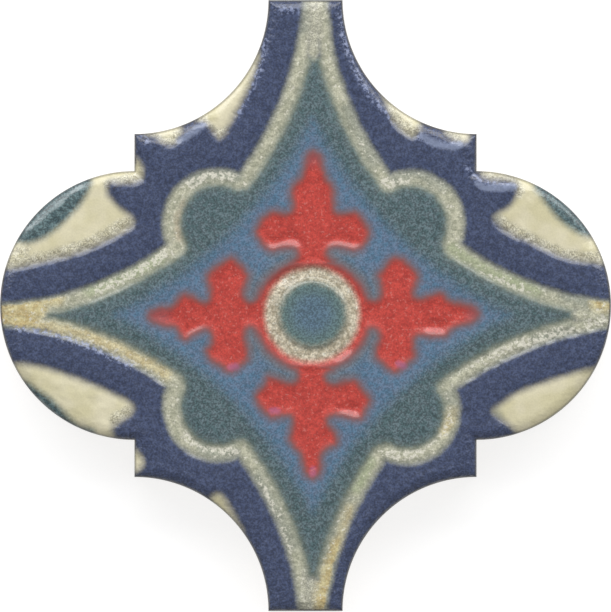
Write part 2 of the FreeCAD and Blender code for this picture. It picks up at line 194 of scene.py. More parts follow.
# %% Star
STAR_CENTRE = np.array([0.82, -1.03])
FLANK_RADIUS = 36.0
FLANK_RISE = 36.0
BAND_SPACING = 0.74
BAND_START = 0.7
PAST_THE_END = 36.0
STAR_LINE_HALF = 0.88
CURVE_STEP = 0.35
QUARTERS = [
    {"flanks": (0.17, 0.0), "lobe": (10.33, 9.72), "radius": 4.94, "reach": (27.4, 27.7)},
    {"flanks": (-0.06, -0.05), "lobe": (10.17, 9.95), "radius": 4.90, "reach": (27.7, 27.9)},
    {"flanks": (-0.03, -0.13), "lobe": (10.09, 9.75), "radius": 5.02, "reach": (27.9, 28.4)},
    {"flanks": (-0.17, -0.14), "lobe": (9.83, 10.20), "radius": 4.96, "reach": (28.4, 27.4)},
]


def flank(aside, lobe, radius, reach):
    """One flank line of a point that looks up: its outer end, its run to the cusp, and the cusp."""
    middle = (BAND_SPACING / 2 + FLANK_RADIUS + aside, FLANK_RISE)
    gap = math.dist(middle, lobe)
    along = (gap ** 2 + radius ** 2 - FLANK_RADIUS ** 2) / (2 * gap)
    across = math.sqrt(radius ** 2 - along ** 2)
    unit = ((middle[0] - lobe[0]) / gap, (middle[1] - lobe[1]) / gap)
    cusp = (lobe[0] + along * unit[0] - across * unit[1], lobe[1] + along * unit[1] + across * unit[0])
    cusp_turn = math.atan2(cusp[1] - middle[1], cusp[0] - middle[0]) % (2 * math.pi)
    tip_turn = math.pi + math.asin((FLANK_RISE - reach) / FLANK_RADIUS)
    outer = arc_points(middle, FLANK_RADIUS, math.pi, tip_turn, CURVE_STEP)
    return outer, arc_points(middle, FLANK_RADIUS, tip_turn, cusp_turn, CURVE_STEP), cusp


star_lines = []
field = []
for n, quarter in enumerate(QUARTERS):
    lobe, radius, reach = quarter["lobe"], quarter["radius"], quarter["reach"]
    outer, run, cusp = flank(quarter["flanks"][0], lobe, radius, reach[0])
    side_outer, side_run, side_cusp = flank(quarter["flanks"][1], lobe[::-1], radius, reach[1])
    from_turn = math.atan2(cusp[1] - lobe[1], cusp[0] - lobe[0])
    to_turn = math.atan2(side_cusp[0] - lobe[1], side_cusp[1] - lobe[0])
    rounded = arc_points(lobe, radius, from_turn, to_turn, CURVE_STEP)
    back_run, back_outer = np.flipud(side_run)[:, ::-1], np.flipud(side_outer)[:, ::-1]
    line = np.vstack([[[outer[0][0], PAST_THE_END]], outer, run, rounded, back_run, back_outer,
                      [[PAST_THE_END, side_outer[0][0]]]])
    star_lines.append(turned(line, n, STAR_CENTRE))
    star_lines.append(turned([[0, reach[0] + BAND_START], [0, PAST_THE_END]], n, STAR_CENTRE))
    field.append(turned(np.vstack([[[0, reach[0]]], run, rounded, back_run]), n, STAR_CENTRE))
pattern("star_line", star_lines, closed=False)
pattern("star_field", [np.vstack(field)])

# %% [markdown]
# ## Diamond, cross and ring
# Inside the star a blue diamond with hollow sides fades into grey teal. The red cross has four like
# arms: a stem that flares out of the ring, a rounded cross bar, a bud and a slim tip. The red was
# filled in by hand and ran a little, so every arm has an outline of its own. The ring and its button
# are circles, each a little off the middle, and the red that surrounds them is slightly wider than high.

# %% Diamond, cross, ring
DIAMOND_CENTRE = np.array([0.74, -1.06])
DIAMOND_REACH = 20.8
DIAMOND_HOLLOW = 2.4
RING_CENTRE = (0.70, -0.95)
RING_RADIUS = 5.17
RED_RING_CENTRE = (0.77, -1.04)
RED_RING_RADIUS = 6.23
RED_RING_STRETCH = (1.02, 0.985)
BUTTON_CENTRE = (0.77, -0.90)
BUTTON_RADIUS = 3.62
UPPER_ARM = [
    (-2.0, 4.3), (-1.15, 5.2), (-1.35, 5.9), (-2.4, 5.95), (-3.6, 5.65), (-4.65, 6.3), (-5.5, 7.7),
    (-5.15, 8.75), (-4.4, 9.7), (-3.4, 10.2), (-2.3, 10.05), (-1.7, 10.15), (-1.6, 10.9), (-1.75, 12.0),
    (-1.35, 13.0), (-0.6, 13.85), (-0.2, 15.15), (-0.05, 16.05), (0.8, 16.6), (1.7, 15.95),
    (2.0, 14.95), (2.3, 13.85), (2.95, 12.9), (3.2, 12.0), (3.25, 10.8), (3.4, 10.1), (4.3, 10.05),
    (5.4, 10.1), (6.2, 9.3), (7.0, 7.9), (6.4, 6.35), (5.3, 5.7), (4.2, 5.9), (3.1, 6.05),
    (2.5, 5.5), (3.3, 4.4), (0.7, 3.8),
]
RIGHT_ARM = [
    (6.1, 1.7), (6.7, 1.0), (7.3, 0.75), (7.75, 1.1), (7.8, 2.0), (7.6, 3.2), (8.25, 4.3),
    (9.2, 5.2), (10.3, 5.15), (11.5, 4.2), (12.2, 3.1), (11.9, 2.1), (11.7, 1.25), (12.1, 0.95),
    (13.2, 1.25), (14.1, 1.55), (14.9, 1.3), (15.5, 0.65), (16.8, 0.4), (18.0, 0.0),
    (18.65, -0.9), (18.0, -1.85), (16.8, -2.25), (15.7, -2.7), (15.0, -3.4), (13.7, -3.5),
    (12.3, -3.4), (11.8, -3.7), (11.75, -4.5), (11.9, -5.4), (11.15, -6.25), (10.1, -7.0),
    (9.3, -7.25), (8.35, -6.6), (7.4, -5.65), (7.3, -4.5), (7.65, -3.4), (7.35, -2.8), (6.8, -2.8),
    (6.1, -3.6), (5.2, -1.0),
]
LOWER_ARM = [
    (-2.0, -6.4), (-1.2, -7.1), (-1.1, -7.8), (-1.9, -8.0), (-3.1, -7.55), (-4.1, -7.4),
    (-4.55, -8.3), (-5.5, -9.45), (-5.2, -10.5), (-4.5, -11.5), (-3.6, -12.15), (-2.4, -11.95),
    (-1.65, -12.1), (-1.65, -13.0), (-1.95, -14.15), (-1.45, -15.05), (-0.7, -16.0), (-0.45, -17.25),
    (0.05, -18.2), (0.8, -18.6), (1.6, -18.05), (1.9, -17.0), (1.9, -16.1), (2.45, -15.4),
    (3.45, -14.8), (3.4, -13.6), (2.65, -12.6), (2.65, -12.1), (3.6, -11.9), (5.1, -12.25),
    (6.1, -12.15), (6.6, -11.2), (7.1, -10.1), (6.4, -9.0), (5.5, -7.85), (4.5, -7.8), (3.1, -8.1),
    (2.45, -7.9), (2.4, -7.4), (3.2, -6.7), (0.7, -5.8),
]
LEFT_ARM = [
    (-4.6, 2.2), (-5.3, 1.05), (-5.9, 0.65), (-6.4, 1.1), (-6.15, 2.2), (-5.95, 3.3), (-6.8, 4.5),
    (-7.9, 5.25), (-8.9, 4.75), (-10.1, 3.9), (-10.7, 3.0), (-10.4, 1.8), (-10.45, 0.8),
    (-11.0, 0.65), (-12.0, 1.2), (-13.0, 1.4), (-13.8, 0.7), (-14.4, 0.05), (-15.7, -0.1),
    (-16.8, -0.75), (-16.6, -1.7), (-15.3, -2.3), (-14.0, -2.55), (-13.5, -3.3), (-12.8, -3.8),
    (-11.9, -3.35), (-10.8, -2.8), (-10.2, -3.2), (-10.3, -4.1), (-10.75, -4.9), (-10.25, -5.9),
    (-9.1, -6.6), (-8.2, -7.3), (-7.2, -6.85), (-6.1, -5.9), (-5.9, -4.8), (-6.2, -3.4),
    (-6.0, -2.6), (-5.5, -2.85), (-4.6, -4.0), (-4.0, -1.0),
]


def circle(centre, radius, stretch=(1, 1)):
    """A whole circle, which may be a little wider or higher than round."""
    return arc_points((0, 0), radius, 0, 2 * math.pi, CURVE_STEP) * stretch + centre


half_side = DIAMOND_REACH / math.sqrt(2)
diamond_radius = (half_side ** 2 + DIAMOND_HOLLOW ** 2) / (2 * DIAMOND_HOLLOW)
away = half_side / math.sqrt(2) + (diamond_radius - DIAMOND_HOLLOW) / math.sqrt(2)
opening = math.asin(half_side / diamond_radius)
diamond_side = arc_points((away, away), diamond_radius, 1.25 * math.pi - opening,
                          1.25 * math.pi + opening, CURVE_STEP * 2)
pattern("diamond", [np.vstack([turned(diamond_side, n, DIAMOND_CENTRE) for n in range(4)])])
pattern("cross", [smooth_loop(arm) for arm in (UPPER_ARM, RIGHT_ARM, LOWER_ARM, LEFT_ARM)])
pattern("button", [circle(BUTTON_CENTRE, BUTTON_RADIUS)])
pattern("ring", [circle(RING_CENTRE, RING_RADIUS)])
pattern("red_ring", [circle(RED_RING_CENTRE, RED_RING_RADIUS, RED_RING_STRETCH)])
pattern("rim", [rim_loop])

# %% [markdown]
# ## Cream patches near the edge
# Outside the star the navy field is broken by cream patches: a big leaf on each lobe, slim slivers
# on the hollows and small ones at the shoulders. They were dabbed by hand, so no two are alike, and
# each has its own outline. An outline may run past the tile's edge, because only its distance is used.

# %% Cream patches and teal crescents
LEAVES = [
    [(-18.9, 15.2), (-18.2, 16.0), (-17.6, 15.5), (-17.15, 14.6), (-17.3, 13.5), (-18.2, 13.0),
     (-19.6, 12.9), (-20.7, 13.0), (-20.9, 12.4), (-20.6, 11.6), (-19.6, 10.5), (-18.5, 9.7),
     (-18.15, 8.9), (-18.8, 8.0), (-21.3, 6.7), (-23.6, 5.7), (-26.2, 4.95), (-29.0, 4.3),
     (-31.0, 3.9), (-33.5, 3.9), (-33.5, 8.0), (-30.5, 12.5), (-25.0, 16.0)],
    [(22.0, 13.1), (22.35, 12.3), (22.1, 11.4), (21.3, 10.5), (20.1, 9.8), (19.95, 9.1), (20.8, 8.2),
     (22.3, 7.3), (24.0, 6.6), (25.6, 5.8), (27.0, 5.2), (28.6, 4.75), (30.2, 4.5), (33.5, 4.6),
     (33.0, 9.5), (28.5, 13.8), (23.5, 16.0), (18.5, 15.4), (18.6, 13.9), (19.4, 13.4), (20.9, 13.25)],
    [(-33.0, -6.2), (-31.2, -5.95), (-29.5, -6.05), (-26.5, -6.75), (-23.0, -8.05), (-20.0, -9.35),
     (-18.5, -10.2), (-18.1, -10.9), (-18.5, -11.7), (-19.6, -12.5), (-20.4, -13.1),
     (-20.6, -14.6), (-26.5, -15.0), (-32.0, -10.5)],
    [(33.0, -5.9), (31.0, -6.35), (28.5, -6.95), (25.5, -7.9), (22.6, -9.0), (21.1, -9.95),
     (19.95, -10.8), (19.85, -11.5), (21.0, -12.4), (22.2, -13.5), (23.5, -15.0), (28.0, -14.5),
     (32.5, -10.5)],
    [(-18.9, -15.0), (-18.0, -15.2), (-17.3, -15.9), (-17.05, -16.6), (-17.3, -17.4),
     (-18.0, -17.9), (-18.9, -18.0)],
]
SLIVERS = [
    [(-5.2, 27.4), (-4.75, 26.7), (-5.15, 25.2), (-5.8, 23.4), (-6.6, 21.7), (-7.4, 20.2),
     (-8.1, 18.9), (-8.7, 18.0), (-9.3, 17.7), (-9.9, 18.4), (-10.6, 19.2), (-11.8, 19.9),
     (-10.5, 22.3), (-7.0, 25.5)],
    [(-17.5, 19.2), (-17.2, 18.1), (-16.0, 17.8), (-15.2, 17.2), (-14.4, 17.05), (-13.6, 17.4),
     (-13.1, 18.2), (-13.2, 19.6), (-15.0, 19.8)],
    [(7.8, 23.2), (8.4, 21.4), (9.0, 20.0), (9.8, 18.9), (10.7, 18.1), (11.5, 17.9),
     (12.2, 18.6), (12.4, 20.2), (10.5, 21.6)],
    [(14.6, 19.4), (14.9, 18.1), (15.9, 17.5), (16.9, 17.3), (17.5, 17.7), (17.6, 19.0)],
    [(-10.2, -20.3), (-9.6, -19.85), (-8.9, -19.95), (-8.3, -20.7), (-7.6, -21.8), (-7.0, -22.9),
     (-6.5, -24.2), (-8.0, -24.0), (-10.2, -21.6)],
]
CRESCENTS = [
    [(-30.4, 6.7), (-28.6, 6.9), (-27.0, 7.8), (-25.4, 9.2), (-24.0, 10.8), (-23.1, 12.2),
     (-22.9, 13.6), (-25.0, 15.0), (-30.0, 11.5), (-32.0, 7.5)],
    [(30.6, 7.45), (29.5, 7.5), (28.1, 8.3), (26.8, 9.4), (25.8, 10.6), (24.9, 11.8),
     (24.4, 12.8), (26.0, 14.5), (31.0, 11.5), (32.0, 9.0)],
    [(-30.0, -8.2), (-28.6, -8.9), (-27.4, -9.7), (-26.1, -10.9), (-25.1, -12.0), (-24.0, -12.9),
     (-22.5, -13.5), (-25.0, -15.0), (-30.0, -11.5)],
]
pattern("leaf", [smooth_loop(p) for p in LEAVES + SLIVERS])
pattern("crescent", [smooth_loop(p) for p in CRESCENTS])

# %% [markdown]
# ## Stains in the cream
# The cream glaze is stained: ochre where the band ends meet the tile's edge, gold along two flanks,
# green and tan where copper or iron crept in, and rows of brown iron specks where the cream was wiped
# thin above a navy field. They were strokes of a brush, so an open curve through a few points describes
# them better than an outline. Each set of strokes has one half width, in millimetres.

# %% Stains
half_widths = {"star_line": STAR_LINE_HALF}


def brush(name, half_width, lines):
    """Makes a pattern of open strokes that are twice the half width across."""
    half_widths[name] = half_width
    pattern(name, [smooth_loop(line, closed=False) for line in lines], closed=False)


brush("ochre", 0.8, [
    [(-34, 0.0), (-30.5, 0.0), (-28.4, -0.4)], [(-34, 0.5), (-30.0, 0.6), (-26.6, 1.0)],
    [(-34, -1.2), (-29.6, -1.3)], [(3.5, -25.8), (2.6, -28.5), (1.9, -31.0), (1.7, -34.0)],
    [(31.2, 0.3), (34.0, 0.2)], [(-4.3, -3.4), (-2.6, -5.2), (-0.6, -6.0)],
])
brush("gold", 0.55, [
    [(-30.5, -1.8), (-27.0, -2.3), (-23.5, -3.2), (-20.0, -4.6), (-17.0, -6.0), (-14.8, -7.2)],
    [(14.6, -13.2), (15.6, -11.4)], [(4.7, -21.6), (3.5, -25.6)],
])
brush("green", 0.6, [
    [(-23.0, 1.6), (-19.0, 3.2), (-15.6, 4.9)], [(15.6, 6.0), (19.6, 3.6), (24.6, 1.6)],
    [(6.8, -16.6), (5.4, -19.4)],
])
brush("tan", 0.3, [
    [(-13.4, 7.2), (-13.5, 9.2), (-12.8, 10.8)],
])
brush("iron", 0.45, [
    [(-18.9, 8.9), (-20.8, 7.9), (-23.0, 6.7), (-25.5, 5.8), (-28.2, 5.0), (-31.5, 4.7)],
    [(20.6, 9.0), (22.2, 7.9), (24.3, 7.0), (26.2, 6.0), (28.4, 5.3), (31.6, 5.2)],
    [(-20.8, 12.8), (-19.6, 13.2), (-18.2, 13.4)],
    [(18.4, 13.7), (20.0, 13.4), (22.0, 13.1), (22.7, 12.2)],
    [(-17.4, 17.9), (-15.8, 17.7), (-14.5, 17.3), (-13.3, 18.2), (-12.4, 18.9), (-10.9, 19.7)],
    [(8.9, 20.7), (10.6, 19.0), (11.8, 18.6), (12.9, 18.8), (14.8, 18.1), (16.0, 17.9)],
    [(-31.8, 5.9), (-29.8, 5.6)], [(-20.3, -12.1), (-18.9, -11.2)],
    [(-8.4, 18.5), (-9.4, 18.2), (-10.8, 19.4)],
])

# %% [markdown]
# ## Thick and thin glaze, and painted highlights
# Glaze runs thin on every arris and thick in every hollow, and its colour follows. Shade and worn are
# thin cream with the body showing through, dull is red that thinned at its tips, and bloom the violet
# where red ran into blue. The rest are highlights painted into the colour: the white strokes are glints
# on the cream line, the painted glints and sheen are pale highlights where the navy's arrises and
# channel walls catch the light, and the ridge strokes paint a pale highlight along the crescents.

# %% Thick and thin places, and painted highlights
# painted highlight: white glints where the cream line and ring catch the light
brush("white", 0.2, [
    [(13.9, -7.7), (17.5, -6.0), (21.0, -4.6), (25.0, -3.5), (30.0, -2.7)],
    [(8.6, -16.0), (11.6, -15.6), (14.0, -13.7), (14.9, -11.5)],
    [(-12.6, -13.8), (-10.5, -15.0), (-7.9, -15.5)], [(-12.4, 12.9), (-10.4, 13.8), (-7.6, 13.9)],
    [(8.4, 13.0), (10.8, 12.9)], [(-22.0, 1.9), (-18.0, 3.7), (-14.9, 5.6)],
    [(15.0, 4.6), (19.0, 2.9), (23.0, 1.6)], [(-4.8, -19.5), (-3.2, -23.0), (-1.9, -26.5)],
    [(30.2, -1.8), (32.4, -1.7)], [(-25.6, -3.6), (-21.6, -4.9), (-17.6, -6.8)],
])
brush("shade", 0.6, [
    [(-0.4, 32.5), (-0.2, 29.5)], [(4.5, 20.8), (5.9, 17.8), (7.3, 15.2)],
    [(9.5, 13.4), (12.0, 14.0), (14.6, 12.6)], [(-12.0, 13.4), (-9.6, 14.0), (-7.4, 13.6)],
    [(-5.0, -18.3), (-3.0, -22.0), (-1.3, -25.6)], [(-11.0, -15.3), (-9.0, -16.0), (-7.6, -15.6)],
    [(4.6, -20.8), (3.4, -23.6), (2.2, -26.8)], [(15.3, -9.6), (15.6, -11.4)],
    [(24.5, -3.5), (28.0, -2.5)], [(27.6, 0.9), (30.0, 0.3)], [(19.9, -10.2), (20.4, -11.9)],
    [(20.0, 9.6), (20.3, 8.8)],
])
brush("worn", 0.9, [
    [(0.9, 33.0), (0.9, 28.0)], [(0.4, -33.0), (0.4, -28.6)],
])
# painted highlight: pale glints on the navy where the rim and the channel edges catch the light
brush("frost", 0.2, [
    [(3.7, 31.5), (4.1, 28.5), (4.9, 25.8), (6.2, 23.3), (7.8, 21.2), (9.0, 19.9)],
    [(-0.9, 31.3), (-2.9, 31.5)], [(-4.3, 28.4), (-4.6, 26.6), (-4.9, 25.0), (-6.0, 22.6), (-7.2, 20.4)],
    [(-17.4, 18.6), (-17.0, 17.4)], [(12.2, 17.9), (13.6, 17.3), (15.6, 17.1)],
    [(17.2, 14.6), (18.4, 13.3), (20.2, 12.8), (22.2, 12.7)],
    [(-30.6, -2.5), (-27.0, -3.1), (-23.9, -4.1), (-21.0, -5.3), (-18.4, -6.6)],
])
# painted highlight: lavender sheen along the navy's channel walls below the cream patches
brush("sheen", 0.35, [
    [(18.3, 13.0), (19.0, 12.55), (20.5, 12.5), (22.2, 12.6)],
    [(12.4, 18.0), (13.5, 17.4), (15.2, 16.9), (16.4, 17.1)],
    [(-13.3, 17.6), (-12.3, 18.2), (-10.9, 19.2)],
])
# painted highlight: a pale line along each crescent's ridge
brush("ridge", 0.1, [
    [(-30.4, 7.9), (-29.0, 8.5), (-27.7, 9.5), (-26.4, 10.6), (-25.1, 11.8), (-23.8, 12.8)],
    [(26.2, 12.3), (27.8, 10.9), (29.1, 9.7), (30.6, 8.7)],
    [(-29.8, -9.3), (-28.2, -10.2), (-27.0, -11.2), (-25.8, -12.3)],
])
brush("dull", 0.6, [
    [(-17.4, -1.0), (-15.2, -1.1)], [(17.9, -0.9), (18.7, -0.9)], [(0.8, 15.6), (0.8, 16.6)],
])
brush("bloom", 0.15, [
    [(0.8, -17.4), (0.8, -17.9)], [(9.9, -6.2), (10.4, -6.4)], [(-8.0, -6.6), (-7.4, -6.5)],
    [(-3.6, -11.2), (-3.0, -11.2)],
])

# %% [markdown]
# ## Where the mould bit
# The mould was pressed by hand, so a channel's wall is steep in some places and slack in others, and
# the star line spreads a little at its lobes and ends. Only steep walls catch the light, so these
# strokes lie where the tile shines.

# %% Steep and wide places
brush("steep", 0.3, [
    [(-3.7, 6.2), (-2.6, 6.3), (-1.3, 6.8)], [(3.0, 6.4), (5.4, 6.1)], [(13.5, -2.45), (14.9, -2.7)],
    [(4.2, -11.5), (6.4, -11.35)], [(-12.2, -3.1), (-11.3, -2.7)], [(4.2, -5.5), (4.6, -5.2)],
    [(-18.3, 8.0), (-20.8, 6.7), (-25.5, 5.0), (-32.0, 3.6)],
    [(20.4, 8.3), (24.0, 6.4), (28.4, 4.7), (31.8, 4.2)],
    [(-31.5, -2.4), (-27.0, -3.2), (-21.0, -5.2), (-16.0, -7.8)],
    [(17.0, -7.2), (23.0, -4.6), (31.0, -2.6)], [(-20.6, 12.9), (-17.6, 13.2)],
    [(18.4, 13.2), (22.0, 13.0)], [(-4.6, 2.9), (0.7, 3.4), (3.0, 1.6)],
    [(-16.8, 17.6), (-13.6, 17.2), (-11.0, 19.2), (-8.9, 18.5), (-7.0, 20.8)],
    [(9.4, 19.9), (11.4, 18.0), (13.0, 17.8), (16.4, 17.4)],
])
brush("wide", 0.3, [
    [(-13.9, 5.6), (-14.2, 8.6), (-13.4, 11.4)], [(15.6, 5.6), (16.0, 8.5), (15.3, 11.4)],
    [(-13.9, -7.8), (-14.2, -10.6), (-13.4, -13.2)], [(-34, -0.4), (-29.0, -0.3)],
    [(34, -0.4), (30.0, -0.4)], [(2.0, 34), (1.9, 29.4)], [(-0.3, -34), (-0.2, -30.5)],
])

# %% [markdown]
# ## The blank
# The blank is one closed mesh: a fine triangle sheet for the face, rings of quads round the rim, the
# sides and the lower arris, and a coarser sheet for the back. A subdivided cube couldn't follow this
# outline, and a remesh would blur it. A constrained triangulation fills any outline, and the
# points can be packed densely only where a channel's wall will need them.

# %% Point sheets
RIM_WIDTH = 1.4
RIM_DROP = 0.85
RIM_RINGS = 10
BACK_ARRIS = 0.35
FINE_STEP = 0.135
COARSE_FACTOR = 2
WALL_REACH = 0.55
BACK_FINE_STEP = 0.22
BACK_COARSE_FACTOR = 6
BACK_WALL_REACH = 0.4
SAMPLE_GAP = 0.2
CLEAR_STEPS = 1.2


def inside(points, loop):
    """True for each point within a closed loop, by counting the edges to its right."""
    x, y = points.T
    hit = np.zeros(len(points), bool)
    for (x1, y1), (x2, y2) in zip(loop, np.roll(loop, -1, 0)):
        rows = (y1 > y) != (y2 > y)
        if rows.any():
            hit[rows] ^= x[rows] < (x2 - x1) * (y[rows] - y1) / (y2 - y1) + x1
    return hit


def distance_to(points, loops):
    """Distance from each point to the nearest sample of some loops."""
    samples = []
    for loop in loops:
        gaps = np.linalg.norm(np.diff(loop, axis=0), axis=1)
        for start, end, gap in zip(loop[:-1], loop[1:], gaps):
            share = np.linspace(0, 1, max(1, math.ceil(gap / SAMPLE_GAP)), endpoint=False)[:, None]
            samples.append(start + share * (end - start))
    samples = np.vstack(samples)
    tree = kdtree.KDTree(len(samples))
    for number, (x, y) in enumerate(samples):
        tree.insert((x, y, 0), number)
    tree.balance()
    return np.array([tree.find((x, y, 0))[2] for x, y in points])


def sheet_points(loop, fine, factor, walls):
    """A triangular grid well inside a loop, fine near the walls and coarse elsewhere."""
    row_gap = fine * math.sqrt(3) / 2
    rows = np.arange(-HALF_SIZE, HALF_SIZE, row_gap)
    columns = np.arange(-HALF_SIZE, HALF_SIZE, fine)
    grid = []
    for number, y in enumerate(rows):
        shift = fine / 2 if number % 2 else 0
        coarse = (np.arange(len(columns)) % factor == 0) & (number % factor == 0)
        x = columns + shift
        grid.append(np.column_stack([x, np.full(len(x), y), coarse]))
    grid = np.vstack(grid)
    shrunk = loop * (1 - CLEAR_STEPS * fine / HALF_SIZE)
    grid = grid[inside(grid[:, :2], shrunk)]
    near = walls(grid[:, :2])
    return grid[near | (grid[:, 2] > 0)][:, :2]


def closed_loops(*names):
    """The loops of some patterns, each with its first point again at its end."""
    return [np.vstack([loop, loop[:1]]) for name in names for loop in patterns[name][1]]


def face_walls(points):
    """True where a channel or patch of the face has its wall."""
    line = distance_to(points, patterns["star_line"][1])
    near = np.abs(line - STAR_LINE_HALF) < WALL_REACH
    closed = closed_loops("cross", "button", "ring", "red_ring", "leaf", "crescent")
    return near | (distance_to(points, closed) < WALL_REACH)


face_loop = outline(RIM_WIDTH)
face_points = sheet_points(face_loop, FINE_STEP, COARSE_FACTOR, face_walls)
print("face points:", len(face_points))

# %% [markdown]
# ## Helpers for node trees
# Three Geometry Nodes trees and two materials follow. Drawn in the editor they would be a web of wires.
# Written out, one short helper makes a node and feeds it, and the others do sums, soft steps and noise.
# They all add to `tree`, which is whichever tree is being built, and the noise reads `spot`, the place
# in millimetres there.

# %% Node helpers
def new_tree(name, inputs):
    """An empty Geometry Nodes tree with named inputs, and its two end nodes."""
    made = bpy.data.node_groups.new(name, "GeometryNodeTree")
    for way in ("INPUT", "OUTPUT"):
        made.interface.new_socket("Geometry", in_out=way, socket_type="NodeSocketGeometry")
    for label, (kind, value) in inputs.items():
        socket = made.interface.new_socket(label, in_out="INPUT", socket_type="NodeSocket" + kind)
        if value is not None:
            socket.default_value = value
    return made, made.nodes.new("NodeGroupInput"), made.nodes.new("NodeGroupOutput")


def socket_of(made, label):
    """The identifier of a tree's input, by which a modifier sets it."""
    return next(s.identifier for s in made.interface.items_tree
                if s.item_type == "SOCKET" and s.in_out == "INPUT" and s.name == label)


def add_modifier(obj, made, values):
    """Puts a tree on an object and sets its named inputs."""
    modifier = obj.modifiers.new(made.name, "NODES")
    modifier.node_group = made
    for label, value in values.items():
        modifier[socket_of(made, label)] = value


def feed(source, socket):
    """Links a socket to an input, or sets the input to a plain value."""
    if isinstance(source, bpy.types.NodeSocket):
        tree.links.new(source, socket)
    else:
        socket.default_value = source


def new_node(kind, sources=(), **settings):
    """A node with its settings, and with what feeds its inputs, by their names or numbers."""
    node = tree.nodes.new(kind)
    for label, value in settings.items():
        setattr(node, label, value)
    for label, source in dict(sources).items():
        feed(source, node.inputs[label])
    return node


def calc(operation, *sources):
    """One step of arithmetic on sockets and numbers."""
    return new_node("ShaderNodeMath", enumerate(sources), operation=operation).outputs[0]


def ramp(source, from_low, from_high, to_low, to_high):
    """A smooth step of a socket's value: where it starts and ends, and its value at each."""
    sources = enumerate((source, from_low, from_high, to_low, to_high))
    return new_node("ShaderNodeMapRange", sources, interpolation_type="SMOOTHSTEP").outputs[0]


def noise(scale, detail=2.0, roughness=0.5, offset=0.0):
    """Noise at the spot in millimetres. The offset shifts it, so that two noises differ."""
    moved = new_node("ShaderNodeVectorMath", {0: spot, 1: (offset, offset * 0.7, offset * 1.3)},
                     operation="ADD")
    return new_node("ShaderNodeTexNoise", {"Vector": moved.outputs[0], "Scale": scale, "Detail": detail,
                                           "Roughness": roughness}).outputs[0]


# %% [markdown]
# ## Keying grooves in the back
# A pressed tile has shallow grooves in its back that the adhesive grips. They repeat at an even pitch,
# so a small Geometry Nodes tree makes them: one slot outline, instanced along a line of points. The
# same distance rule that presses the ornament into the face then presses the slots into the back.

# %% Groove outlines from a Geometry Nodes tree
GROOVE_LENGTH = 38.0
GROOVE_WIDTH = 2.0
GROOVE_PITCH = 4.0
GROOVE_COUNT = 6
GROOVE_DEPTH = 0.6

tree, start, end = new_tree("repeat_grooves", {
    "Pitch": ("Float", GROOVE_PITCH * MM),
    "Count": ("Int", GROOVE_COUNT),
})
half_count = calc("MULTIPLY_ADD", start.outputs["Count"], -0.5, 0.5)
lowest = new_node("ShaderNodeCombineXYZ", {"Y": calc("MULTIPLY", half_count, start.outputs["Pitch"])})
offset = new_node("ShaderNodeCombineXYZ", {"Y": start.outputs["Pitch"]})
column = new_node("GeometryNodeMeshLine", {"Count": start.outputs["Count"],
                                           "Start Location": lowest.outputs[0],
                                           "Offset": offset.outputs[0]})
copies = new_node("GeometryNodeInstanceOnPoints", {"Points": column.outputs[0],
                                                   "Instance": start.outputs["Geometry"]})
real = new_node("GeometryNodeRealizeInstances", {0: copies.outputs[0]})
feed(real.outputs[0], end.inputs[0])

slot_reach = (GROOVE_LENGTH - GROOVE_WIDTH) / 2
slot_end = arc_points((slot_reach, 0), GROOVE_WIDTH / 2, -math.pi / 2, math.pi / 2, CURVE_STEP)
slot_end = np.vstack([slot_end, [[slot_reach, GROOVE_WIDTH / 2]]])
slot = np.vstack([slot_end, -slot_end])
rises = [GROOVE_PITCH * (n - (GROOVE_COUNT - 1) / 2) for n in range(GROOVE_COUNT)]
pattern("groove", [slot])
patterns["groove"] = (patterns["groove"][0], [slot + [0, rise] for rise in rises])
add_modifier(patterns["groove"][0], tree, {"Pitch": GROOVE_PITCH * MM, "Count": GROOVE_COUNT})


def back_walls(points):
    """True where a groove of the back has its wall."""
    return distance_to(points, closed_loops("groove")) < BACK_WALL_REACH


back_loop = outline(BACK_ARRIS)
back_points = sheet_points(back_loop, BACK_FINE_STEP, BACK_COARSE_FACTOR, back_walls)
print("back points:", len(back_points))

# %% [markdown]
# ## Sewing the blank together
# The two sheets and the rings share their loops, so the mesh is closed from the first moment and
# nothing has to be merged. The rim turns through a quarter circle, because glaze draws back from an
# arris and leaves it rounded, and the lower arris is only slightly worn.

# %% Blank mesh
SIDE_RINGS = (0.75, 0.5, 0.25)
ARRIS_ROUND = 0.3
FILL_THE_LOOP = 1
SAME_PLACE = 1e-6


def triangulate(loop, points):
    """Triangles of a loop and the points inside it, counted from the loop's first point."""
    coords = np.vstack([loop, points])
    edges = [(n, (n + 1) % len(loop)) for n in range(len(loop))]
    vertices, _, faces, origins, _, _ = delaunay_2d_cdt(
        [Vector(p) for p in coords], edges, [], FILL_THE_LOOP, SAME_PLACE)
    order = [o[0] for o in origins]
    return [tuple(order[v] for v in face) for face in faces], len(vertices) == len(coords)


rings = []
for n in range(RIM_RINGS + 1):
    turn = math.pi / 2 * n / RIM_RINGS
    inset = RIM_WIDTH * (1 - math.sin(turn))
    rings.append((inset, THICKNESS - RIM_DROP * (1 - math.cos(turn))))
side_top = THICKNESS - RIM_DROP
rings += [(0.0, BACK_ARRIS + share * (side_top - BACK_ARRIS)) for share in SIDE_RINGS]
rings += [(0.0, BACK_ARRIS), (BACK_ARRIS * ARRIS_ROUND, BACK_ARRIS * ARRIS_ROUND), (BACK_ARRIS, 0.0)]
loop_size = len(rim_loop)
coords = [np.column_stack([outline(inset), np.full(loop_size, z)]) for inset, z in rings]
faces = []
for ring in range(len(rings) - 1):
    for n in range(loop_size):
        m = (n + 1) % loop_size
        upper, lower = ring * loop_size, (ring + 1) * loop_size
        faces.append((upper + n, upper + m, lower + m, lower + n))
face_start = len(rings) * loop_size
face_tris, face_whole = triangulate(face_loop, face_points)
last_ring = (len(rings) - 1) * loop_size
back_start = face_start + len(face_points)
back_tris, back_whole = triangulate(back_loop, back_points)


